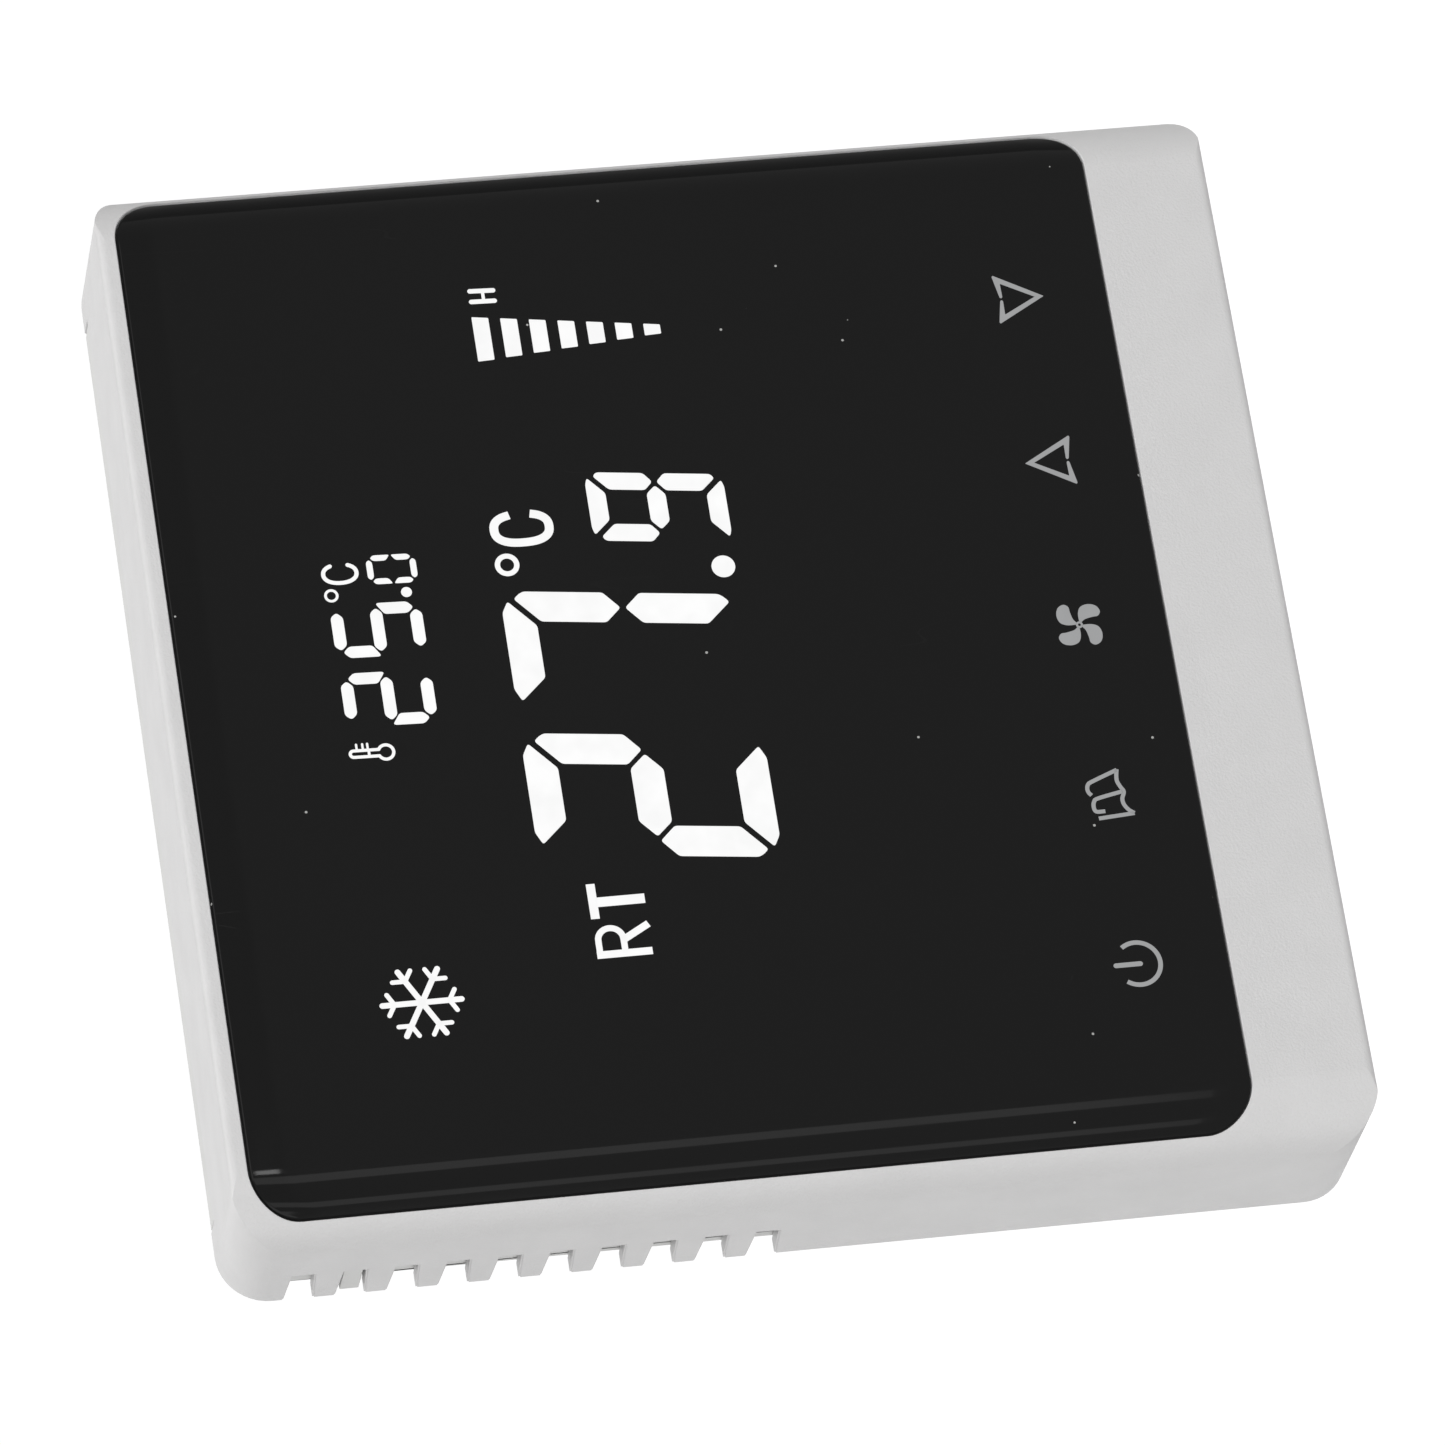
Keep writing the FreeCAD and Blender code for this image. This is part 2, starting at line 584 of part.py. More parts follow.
def display_window(name, rear, thickness):
    """A block as large as the display's window."""
    centre = (DISPLAY[0], f"{rear} - ({thickness}) / 2", DISPLAY[1])
    return block(name, centre, ("display_width + 2 * fit", thickness, "display_height + 2 * fit"))


def face_prism():
    """The housing's section in Y and Z, with round top and bottom edges, padded across the width."""
    body = doc.addObject("PartDesign::Body", "housing_side")
    section = new_sketch(body, "housing_side_section", "YZ_Plane")
    draw_rectangle(section, "section", ("0", "0"), "2 * front_depth", "front_height", "face_edge_round")
    pad(body, "housing_side_pad", section, "front_width", midplane=True)
    return body


def vent_cutter():
    """The row of vents that open at the rear edge of the left wall."""
    body = doc.addObject("PartDesign::Body", "vent_cutter")
    profile = new_sketch(body, "vent_profile", "YZ_Plane")
    mouth, root = "vent_mouth / 2", "vent_width / 2"
    corners = [(PAST, mouth), ("0", mouth), ("-vent_length", root)]
    corners += [("-vent_length", f"-{root}"), ("0", f"-{mouth}"), (PAST, f"-{mouth}")]
    draw_polygon(profile, "vent", corners)
    pad(body, "vent_pad", profile, f"wall + 2 * {PAST}")
    row_of_vents = body.newObject("PartDesign::LinearPattern", "vent_row")
    row_of_vents.Originals = [body.Tip]
    row_of_vents.Direction = (profile, ["V_Axis"])
    row_of_vents.Reversed = True
    row_of_vents.Occurrences = VENT_COUNT
    bind(row_of_vents, Length=f"{VENT_COUNT - 1} * vent_pitch")
    body.Tip = row_of_vents
    return place(body, (f"-front_width / 2 - {PAST}", "0", f"{TOP} - vent_start - vent_width / 2"))


def build_front_housing():
    outline = plate("housing_outline", ("0", "0"), "0", "front_width", "front_height", "front_depth",
                    "corner_round")
    outer = common("housing_outer", [slab_inside_face("housing_slab", "0"), outline, face_prism()])
    cavity_width = "front_width - 2 * wall"
    cavity_height = "front_height - 2 * wall"
    cavity = common("housing_cavity", [
        side_rounded_slab("cavity_slab", cavity_width, SHELF_BACK, "cavity_round", cavity_height),
        plate("cavity_outline", ("0", "0"), PAST, cavity_width, cavity_height,
              f"front_depth + {PAST}", "corner_round - wall"),
    ])
    recess = cut("lens_recess", lens_outline("recess_outline", "lens_gap", "-front_depth + side_round",
                                             f"side_round + {PAST}"),
                 [slab_inside_face("recess_core", "lens_sink + lens_thickness + tape_thickness")])
    rim_cut = block("rim_cut", ("0", f"({PAST} - rim_height - joint_line) / 2", f"{TOP} - wall / 2"),
                    ("front_width - 2 * rim_end + 2 * joint_line", f"{PAST} + rim_height + joint_line",
                     "3 * wall"))
    pry_cut = block("pry_cut", ("0", f"({PAST} - pry_height) / 2", BOTTOM),
                    ("pry_width", f"{PAST} + pry_height", "3 * wall"))
    cutters = [cavity, recess, rim_cut, pry_cut, vent_cutter()]
    cutters.append(display_window("housing_window", SHELF_BACK, "shelf + lens_thickness"))
    for name, key in zip(KEY_NAMES, KEYS):
        hole = rod(f"housing_hole_{name}", (key, LENS_BACK, KEY_LEVEL), "key_window",
                   "shelf + lens_thickness")
        cutters.append(hole)
    shell = cut("housing_shell", outer, cutters)
    bosses, holes = [], []
    for index, (x, z) in enumerate(BOARD_SCREWS):
        root = f"{SHELF_BACK} - shelf / 2"
        bosses.append(rod(f"boss_{index}", (x, root, z), "boss_radius", f"{BOARD_FRONT} - ({root})"))
        depth = "board_screw_length - board_thickness + tip_gap"
        holes.append(rod(f"boss_hole_{index}", (x, f"{BOARD_FRONT} - ({depth})", z),
                         "board_screw_radius + thread_gap", f"{depth} + {PAST}"))
    finish(cut("front_housing", fuse("housing_with_bosses", [shell] + bosses), holes), "front_housing")


def build_touch_lens():
    blank = common("lens_blank", [
        slab_inside_face("lens_slab", "lens_sink"),
        lens_outline("lens_outline", "0", "-front_depth + side_round", f"side_round + {PAST}"),
    ])
    core = slab_inside_face("lens_core", "lens_sink + lens_thickness")
    finish(cut("touch_lens", blank, [core]), "touch_lens")


def build_lens_tape():
    blank = common("tape_blank", [
        slab_inside_face("tape_slab", "lens_sink + lens_thickness"),
        lens_outline("tape_outline", "-tape_inset", "-front_depth + side_round", f"side_round + {PAST}"),
    ])
    cutters = [slab_inside_face("tape_core", "lens_sink + lens_thickness + tape_thickness")]
    cutters.append(display_window("tape_window", SHELF_BACK, "shelf + lens_thickness"))
    for name, key in zip(KEY_NAMES, KEYS):
        hole = rod(f"tape_hole_{name}", (key, f"{LENS_BACK} - lens_thickness", KEY_LEVEL),
                   "key_window", "2 * lens_thickness")
        cutters.append(hole)
    finish(cut("lens_tape", blank, cutters), "lens_tape")


build_front_housing()
build_touch_lens()
build_lens_tape()


# ---------------------------------------------------------------------------------------------
# Display
# ---------------------------------------------------------------------------------------------
DISPLAY_TOP = f"{DISPLAY[1]} + display_height / 2"
DISPLAY_BOTTOM = f"{DISPLAY[1]} - display_height / 2"
STRIP_LENGTH = "display_width - 2 * glass_ledge"
REFLECTOR_BACK = f"{GLASS_BACK} + 2 * film + guide_thickness"
GUIDE_HEIGHT = "display_height - glass_ledge - led_height - 2 * fit"
GUIDE_LEVEL = f"{DISPLAY_BOTTOM} + led_height + fit + ({GUIDE_HEIGHT}) / 2"


def build_display():
    front_sheet = plate("display_front_sheet", DISPLAY, f"{GLASS_FRONT} + glass_sheet",
                        "display_width", "display_height", "glass_sheet")
    rear_sheet = plate("display_rear_sheet", (DISPLAY[0], f"{DISPLAY[1]} - glass_ledge / 2"), GLASS_BACK,
                       "display_width", "display_height - glass_ledge", "glass_sheet")
    finish(group("display_glass", [front_sheet, rear_sheet]), "display_glass")

    tray = plate("frame_tray", DISPLAY, BOARD_FRONT, FRAME_WIDTH, FRAME_HEIGHT,
                 f"{BOARD_FRONT} - ({SHELF_BACK})", "frame_wall")
    well = display_window("frame_well", REFLECTOR_BACK, f"{REFLECTOR_BACK} - ({SHELF_BACK}) + {PAST}")
    slot_centre = (DISPLAY[0], f"({REFLECTOR_BACK} + {BOARD_FRONT}) / 2", f"{DISPLAY_TOP} - glass_ledge / 2")
    strip_slot = block("frame_strip_slot", slot_centre,
                       (f"{STRIP_LENGTH} + 2 * fit",
                        f"{BOARD_FRONT} - ({REFLECTOR_BACK}) + 2 * guide_thickness", "glass_ledge - fit"))
    finish(cut("display_frame", tray, [well, strip_slot]), "display_frame")

    diffuser = plate("diffuser_film", (DISPLAY[0], GUIDE_LEVEL), f"{GLASS_BACK} + film",
                     "display_width", GUIDE_HEIGHT, "film")
    finish(diffuser, "diffuser_film")
    guide = plate("light_guide", (DISPLAY[0], GUIDE_LEVEL), f"{GLASS_BACK} + film + guide_thickness",
                  "display_width", GUIDE_HEIGHT, "guide_thickness")
    finish(guide, "light_guide")
    reflector_height = "display_height - glass_ledge - fit"
    reflector = plate("reflector_film", (DISPLAY[0], f"{DISPLAY_BOTTOM} + ({reflector_height}) / 2"),
                      REFLECTOR_BACK, "display_width", reflector_height, "film")
    finish(reflector, "reflector_film")

    lamps = []
    for index in range(BACKLIGHT_COUNT):
        x = f"{DISPLAY[0]} + {index - (BACKLIGHT_COUNT - 1) / 2} * led_pitch"
        centre = (x, f"{GLASS_BACK} + film + guide_thickness / 2", f"{DISPLAY_BOTTOM} + led_height / 2")
        lamps.append(block(f"backlight_lamp_{index}", centre,
                           ("led_length", "guide_thickness", "led_height")))
    finish(group("backlight_lamps", lamps), "backlight_lamps")

    strip_front = f"{GLASS_FRONT} + glass_sheet"
    strip = block("contact_strip_block",
                  (DISPLAY[0], f"({strip_front} + {BOARD_FRONT}) / 2", f"{DISPLAY_TOP} - glass_ledge / 2"),
                  (STRIP_LENGTH, f"{BOARD_FRONT} - ({strip_front})", "glass_ledge - 3 * fit"))
    finish(rounded("contact_strip", strip, "fit", FreeCAD.Vector(0, 1, 0)), "contact_strip")


build_display()


# ---------------------------------------------------------------------------------------------
# Control board and what is on it
# ---------------------------------------------------------------------------------------------
CONTROLLER = ("-controller_side", "controller_level")
DRIVER = ("driver_side", "driver_level")
CRYSTAL = ("-crystal_side", "crystal_level")
BUZZER = ("buzzer_side", "-buzzer_level")
CELL = ("-cell_side", "-cell_drop")


def build_control_board():
    board = plate("control_board", ("0", "0"), BOARD_BACK, BOARD_WIDTH, BOARD_HEIGHT,
                  "board_thickness", "board_corner")
    circles = [(spot, "board_screw_radius + screw_hole_gap") for spot in BOARD_SCREWS]
    circles += [(spot, PIN_HOLE) for spot in PLUG_PINS]
    circles += [(spot, "sensor_lead / 2 + screw_hole_gap") for spot in SENSOR_LEADS]
    finish(pierce(board, circles), "control_board")


def screw(name, spot, seat, shank_radius, shank_length, head_radius, head_rise, rear_head=True):
    """A cross-slotted screw along Y, with its head behind its seat, or in front of it."""
    x, z = spot
    if rear_head:
        shank_start, head_start, slot_y = f"({seat}) - ({shank_length})", seat, f"({seat}) + ({head_rise})"
    else:
        shank_start, head_start, slot_y = seat, f"({seat}) - ({head_rise})", f"({seat}) - ({head_rise})"
    body = fuse(name + "_body", [
        rod(name + "_shank", (x, shank_start, z), shank_radius, shank_length),
        rod(name + "_head", (x, head_start, z), head_radius, head_rise),
    ])
    slots = [
        block(f"{name}_slot_{index}", (x, slot_y, z), size)
        for index, size in enumerate([
            ("cross_slot", head_rise, "driver_slot"),
            ("driver_slot", head_rise, "cross_slot"),
        ])
    ]
    return cut(name, body, slots)


def leaded_chip(name, spot, width, height, leads, lead_pitch, all_sides):
    """A chip on the rear of the control board, with its leads as short feet on two or four sides."""
    x, z = spot
    case = block(name + "_case", (x, f"{BOARD_BACK} + chip_rise / 2", z), (width, "chip_rise", height))
    parts = [rounded(name + "_rounded", case, "chip_edge", FreeCAD.Vector(0, 1, 0))]
    reach, breadth = f"({lead_pitch} / 2 + fit)", f"{lead_pitch} / 2"
    for side in (-1, 1):
        for index in range(leads):
            step = f"{index - (leads - 1) / 2} * {lead_pitch}"
            feet = [(f"{x} + {step}", f"{z} + {side} * (({height}) + {reach}) / 2", breadth, reach)]
            if all_sides:
                feet.append((f"{x} + {side} * (({width}) + {reach}) / 2", f"{z} + {step}", reach, breadth))
            for turn, (lead_x, lead_z, size_x, size_z) in enumerate(feet):
                centre = (lead_x, f"{BOARD_BACK} + chip_rise / 4", lead_z)
                size = (size_x, "chip_rise / 2", size_z)
                parts.append(block(f"{name}_lead_{side + 1}_{index}_{turn}", centre, size))
    finish(group(name, parts), name)


def build_board_parts():
    screws = [
        screw(f"board_screw_{index}", spot, BOARD_BACK, "board_screw_radius", "board_screw_length",
              "board_screw_head", "board_screw_rise")
        for index, spot in enumerate(BOARD_SCREWS)
    ]
    finish(group("board_screws", screws), "board_screws")
    leaded_chip("microcontroller", CONTROLLER, "chip_size", "chip_size", CHIP_LEADS, "chip_lead_pitch", True)
    leaded_chip("display_driver", DRIVER, "driver_length", "driver_width", DRIVER_LEADS, "driver_lead_pitch",
                False)
    can = rod("clock_crystal_can", (f"{CRYSTAL[0]} - crystal_length / 2", f"{BOARD_BACK} + crystal_radius",
                                    CRYSTAL[1]), "crystal_radius", "crystal_length", "X")
    finish(can, "clock_crystal")

    shell = rod("buzzer_shell", (BUZZER[0], BOARD_BACK, BUZZER[1]), "buzzer_radius", "buzzer_rise")
    port = rod("buzzer_port", (BUZZER[0], f"{BOARD_BACK} + buzzer_rise / 2", BUZZER[1]),
               "buzzer_port", "buzzer_rise")
    finish(cut("buzzer", shell, [port]), "buzzer")

    cup = rod("holder_cup", (CELL[0], BOARD_BACK, CELL[1]), "cell_radius + fit + holder_wall",
              "cell_thickness + holder_floor")
    base = f"{BOARD_BACK} + holder_floor"
    well = rod("holder_well", (CELL[0], base, CELL[1]), "cell_radius + fit", f"cell_thickness + {PAST}")
    mouth_rise = f"cell_thickness + {PAST}"
    mouth = block("holder_mouth", (CELL[0], f"{base} + ({mouth_rise}) / 2", f"{CELL[1]} - cell_radius"),
                  ("cell_radius", mouth_rise, "cell_radius"))
    finish(cut("cell_holder", cup, [well, mouth]), "cell_holder")
    finish(fuse("backup_cell", [
        rod("cell_cap", (CELL[0], base, CELL[1]), "cell_radius - holder_wall", "cell_thickness"),
        rod("cell_can", (CELL[0], f"{base} + cell_step", CELL[1]), "cell_radius",
            "cell_thickness - cell_step"),
    ]), "backup_cell")

    bead = doc.addObject("Part::Sphere", "sensor_bead")
    bind(bead, Radius="sensor_radius")
    place(bead, (SENSOR[0], "-sensor_stand", SENSOR[1]))
    leads = [
        rod(f"sensor_wire_{index}", (x, f"{BOARD_FRONT} - tail_length / 2", z), "sensor_lead / 2",
            "board_front + tail_length / 2 - sensor_stand")
        for index, (x, z) in enumerate(SENSOR_LEADS)
    ]
    finish(fuse("room_sensor", [bead] + leads), "room_sensor")

    lamps = [
        block(f"key_lamp_{name}", (key, f"{BOARD_FRONT} - led_height / 4", KEY_LEVEL),
              ("led_height", "led_height / 2", "led_height"))
        for name, key in zip(KEY_NAMES, KEYS)
    ]
    finish(group("key_lamps", lamps), "key_lamps")


def coil_path(radius, pitch, height):
    """A coil rising along Z, as arcs through three points of the helix each."""
    count = round(height / pitch * ARCS_PER_TURN)
    step, rise = 2 * math.pi / ARCS_PER_TURN, height / count

    def spot(index):
        return FreeCAD.Vector(radius * math.cos(index * step), radius * math.sin(index * step), rise * index)

    arcs = [Part.Arc(spot(index), spot(index + 0.5), spot(index + 1)).toShape() for index in range(count)]
    return Part.Wire(arcs)


def build_key_springs():
    """Coil springs that carry the touch signal from the board to the back of the lens."""
    rear, front = number(BOARD_FRONT), number(LENS_BACK)
    wire, radius = number("spring_wire"), number("spring_radius")
    level = number(KEY_LEVEL)
    path = coil_path(radius, number("spring_pitch"), rear - front - wire)
    start = path.OrderedEdges[0]
    ring = Part.makeCircle(wire / 2, FreeCAD.Vector(radius, 0, 0), start.tangentAt(start.FirstParameter))
    for name, key in zip(KEY_NAMES, KEYS):
        spring = doc.addObject("Part::Feature", f"touch_spring_{name}")
        spring.Shape = path.makePipeShell([Part.Wire([ring])], True, True)
        seat = FreeCAD.Vector(number(key), front + wire / 2, level)
        spring.Placement = FreeCAD.Placement(seat, AXIS_TURNS["Y"])
        finish(spring, f"touch_spring_{name}")


def build_plug():
    pin_start = f"{BOARD_FRONT} - tail_length"
    pin_length = f"{PIN_TIP} - ({pin_start})"
    insulator = block("plug_insulator_block", ("plug_side", f"{BOARD_BACK} + plug_body / 2", "-plug_level"),
                      (PLUG_WIDTH, "plug_body", PLUG_HEIGHT))
    pins, holes = [], []
    for index, (x, z) in enumerate(PLUG_PINS):
        centre = (x, f"{pin_start} + ({pin_length}) / 2", z)
        pins.append(block(f"plug_pin_{index}", centre, ("plug_pin", pin_length, "plug_pin")))
        holes.append(block(f"plug_bore_{index}", centre, ("plug_pin", pin_length, "plug_pin")))
    finish(cut("plug_insulator", insulator, holes), "plug_insulator")
    finish(group("plug_pins", pins), "plug_pins")


build_control_board()
build_board_parts()
build_key_springs()
build_plug()


# ---------------------------------------------------------------------------------------------
# Rear base
# ---------------------------------------------------------------------------------------------
def wall_slot(name, x):
    """A slot for a wall screw, running along X, right through the plate."""
    straight = "slot_length - slot_width"
    start = f"-base_plate - {PAST}"
    length = f"base_plate + 2 * {PAST}"
    ends = [
        rod(f"{name}_end_{index}", (f"{x} + {side} * ({straight}) / 2", start, "0"), "slot_width / 2", length)
        for index, side in enumerate((-1, 1))
    ]
    middle = block(f"{name}_middle", (x, f"{start} + ({length}) / 2", "0"), (straight, length, "slot_width"))
    return fuse(name, ends + [middle])


def build_rear_base():
    width = "front_width - 2 * wall - 2 * base_gap"
    height = "front_height - 2 * wall - 2 * base_gap"
    solids = [
        plate("base_sheet", ("0", "0"), "0", width, height, "base_plate", "corner_round - wall"),
        plate("power_box", ("0", "0"), "box_depth", "box_width", "box_height",
              "box_depth + base_plate", "box_corner"),
    ]
    rim_low = "front_height / 2 - wall - base_gap - base_plate"
    rim_high = "front_height / 2 - lens_sink"
    rim = block("base_rim", ("0", "-rim_height / 2", f"({rim_low} + {rim_high}) / 2"),
                ("front_width - 2 * rim_end", "rim_height", f"{rim_high} - ({rim_low})"))
    tongue_x = "front_width / 2 - wall - base_gap - tongue_thickness / 2"
    second_vent = "front_height / 2 - vent_start - vent_width / 2 - vent_pitch"
    tongues = [
        (f"-({tongue_x})", second_vent),
        (tongue_x, "tongue_level"),
        (f"-({tongue_x})", "-tongue_level"),
        (tongue_x, "-tongue_level"),
    ]
    for index, (x, z) in enumerate(tongues):
        solids.append(block(f"tongue_{index}", (x, "-tongue_reach / 2", z),
                            ("tongue_thickness", "tongue_reach", "tongue_width")))
    nose_reach = "wall + base_gap + tongue_thickness / 2 - nose_sink"
    solids.append(block("vent_nose", (f"-front_width / 2 + nose_sink + ({nose_reach}) / 2",
                                      "-vent_length / 2", second_vent),
                        (nose_reach, "vent_length - 2 * nose_gap", "vent_width - 2 * nose_gap")))
    solids.append(rim)

    depth = f"{BOX_FLOOR} + base_plate + {PAST}"
    well = plate("box_well", ("0", "0"), BOX_FLOOR, BOX_INNER_WIDTH, BOX_INNER_HEIGHT, depth,
                 "box_corner - box_wall")
    rebate = plate("cover_rebate_cut", ("0", "0"), "-base_plate + cover_thickness",
                   f"{BOX_INNER_WIDTH} + 2 * cover_rebate", f"{BOX_INNER_HEIGHT} + 2 * cover_rebate",
                   f"cover_thickness + {PAST}", "box_corner - box_wall + cover_rebate")
    mouth_top = f"{BLOCK_BOTTOM} + terminal_depth + fit"
    mouth_low = f"-box_height / 2 - {PAST}"
    wire_mouth = block("wire_mouth", ("0", f"({POWER_BACK} + box_depth + {PAST}) / 2",
                                      f"({mouth_top} + {mouth_low}) / 2"),
                       (f"{BLOCK_WIDTH} + 2 * fit", f"box_depth + {PAST} - ({POWER_BACK})",
                        f"{mouth_top} - ({mouth_low})"))
    cutters = [well, rebate, wire_mouth]
    for index, side in enumerate((-1, 1)):
        cutters.append(wall_slot(f"wall_slot_{index}", f"{side} * screw_spacing / 2"))
    shell = cut("base_shell", fuse("base_solid", solids), cutters)

    posts, bores = [], []
    length = f"{BOX_FLOOR} - ({POWER_BACK})"
    for index, (x, z) in enumerate(POSTS):
        centre = (x, f"{POWER_BACK} + ({length}) / 2 + box_wall / 4", z)
        posts.append(block(f"post_{index}", centre, ("post_side", f"{length} + box_wall / 2", "post_side")))
        bores.append(rod(f"post_bore_{index}", (x, f"{POWER_BACK} - {PAST}", z),
                         "board_screw_radius + thread_gap", f"power_screw_grip + tip_gap + {PAST}"))
    for index, side in enumerate((-1, 1)):
        centre = (f"{side} * (box_width / 2 - box_wall - ledge_side / 2)",
                  f"{POWER_BACK} + ({length}) / 2 + box_wall / 4",
                  "-box_height / 2 + box_wall + ledge_side / 2")
        posts.append(block(f"ledge_{index}", centre,
                           ("ledge_side", f"{length} + box_wall / 2", "ledge_side")))
    finish(cut("rear_base", fuse("base_with_posts", [shell] + posts), bores), "rear_base")


def build_power_cover():
    sheet_width = f"{BOX_INNER_WIDTH} + 2 * cover_rebate - 2 * fit"
    sheet_height = f"{BOX_INNER_HEIGHT} + 2 * cover_rebate - 2 * fit"
    sheet_body = plate("cover_sheet", ("0", "0"), "-base_plate + cover_thickness", sheet_width, sheet_height,
                       "cover_thickness", "box_corner - box_wall + cover_rebate - fit")
    leg_front = "-base_plate + cover_thickness / 2"
    legs = [
        rod(f"cover_leg_{index}", (x, leg_front, z), "post_side / 2 - fit", f"{POWER_FRONT} - ({leg_front})")
        for index, (x, z) in enumerate(POSTS)
    ]
    window = block("socket_window", ("plug_side", "-base_plate", "-plug_level"),
                   (f"{PLUG_WIDTH} + 2 * fit", "4 * cover_thickness", f"{PLUG_HEIGHT} + 2 * fit"))
    bores = [
        rod(f"cover_bore_{index}", (x, f"-base_plate - {PAST}", z), "board_screw_radius + screw_hole_gap",
            f"base_plate + {POWER_FRONT} + 2 * {PAST}")
        for index, (x, z) in enumerate(POSTS)
    ]
    finish(cut("power_cover", fuse("cover_with_legs", [sheet_body] + legs), [window] + bores), "power_cover")
    screws = [
        screw(f"power_box_screw_{index}", spot, "-base_plate", "board_screw_radius",
              f"base_plate + {POWER_BACK} + power_screw_grip", "board_screw_head", "board_screw_rise", False)
        for index, spot in enumerate(POSTS)
    ]
    finish(group("power_box_screws", screws), "power_box_screws")


build_rear_base()
build_power_cover()


# ---------------------------------------------------------------------------------------------
# Power board and what is on it
# ---------------------------------------------------------------------------------------------
BOARD_EDGE = f"{BLOCK_BOTTOM} + terminal_depth"
RELAY_LEVEL = f"{BOARD_EDGE} + part_gap + relay_length / 2"
RELAY_START = "-box_width / 2 + box_wall + part_gap + relay_width / 2"
RELAYS = [f"{RELAY_START} + {index} * relay_pitch" for index in range(len(RELAY_NAMES))]
UPPER_ROW = f"{BOARD_EDGE} + 2 * part_gap + relay_length"
RIGHT_COLUMN = f"{RELAYS[-1]} + relay_width / 2 + part_gap"
TRANSFORMER = (f"{RELAY_START} - relay_width / 2 + core_width / 2 + part_gap",
               f"{UPPER_ROW} + core_height / 2 + bobbin_over + part_gap")
CAPACITOR = (f"{TRANSFORMER[0]} + core_width / 2 + capacitor_radius + part_gap",
             f"{UPPER_ROW} + capacitor_radius + part_gap")
VARISTOR = (f"{CAPACITOR[0]} + capacitor_radius + varistor_width / 2 + 2 * part_gap",
            f"{UPPER_ROW} + varistor_radius + part_gap / 2")
FILM = (f"{VARISTOR[0]} + varistor_width / 2 + film_length / 2 + 2 * part_gap",
        f"{UPPER_ROW} + film_width / 2 + part_gap / 2")
FUSE = (f"{RIGHT_COLUMN} + fuse_radius + part_gap",
        f"-plug_level + ({PLUG_HEIGHT}) / 2 + fuse_radius + part_gap")
LEAD_SPREADS = {
    "transformer": (TRANSFORMER, "0", "core_height / 2 + bobbin_over / 2"),
    "capacitor": (CAPACITOR, "capacitor_radius / 2", "0"),
    "varistor": (VARISTOR, "0", "varistor_radius / 2"),
    "film": (FILM, "film_length / 2 - 2 * part_gap", "0"),
    "fuse": (FUSE, "fuse_radius / 2", "0"),
}
for relay_name, relay_x in zip(RELAY_NAMES, RELAYS):
    LEAD_SPREADS["relay_" + relay_name] = ((relay_x, RELAY_LEVEL), "0", "relay_length / 2 - 2 * part_gap")


def lead_spots(name):
    """The two places where a part's leads go through the power board."""
    (x, z), across, upwards = LEAD_SPREADS[name]
    return [(f"{x} + {side} * ({across})", f"{z} + {side} * ({upwards})") for side in (-1, 1)]


def leads(name):
    """The two leads of a part, from its foot through the power board."""
    return [
        rod(f"{name}_lead_{index}", (x, f"{POWER_BACK} - lead_reach", z), "lead_radius", "lead_reach")
        for index, (x, z) in enumerate(lead_spots(name))
    ]


def build_power_board():
    board = plate("power_board", ("0", "0"), POWER_BACK, f"{BOX_INNER_WIDTH} - 2 * fit",
                  f"{BOX_INNER_HEIGHT} - 2 * fit", "board_thickness", "box_corner - box_wall")
    circles = [(spot, "board_screw_radius + screw_hole_gap") for spot in POSTS]
    circles += [(spot, PIN_HOLE) for spot in PLUG_PINS]
    circles += [((x, f"{LEG_LEVEL} + bar_thickness / 2"), LEG_HOLE) for x in TERMINALS]
    for name in LEAD_SPREADS:
        circles += [(spot, "lead_radius + lead_gap") for spot in lead_spots(name)]
    finish(pierce(board, circles), "power_board")


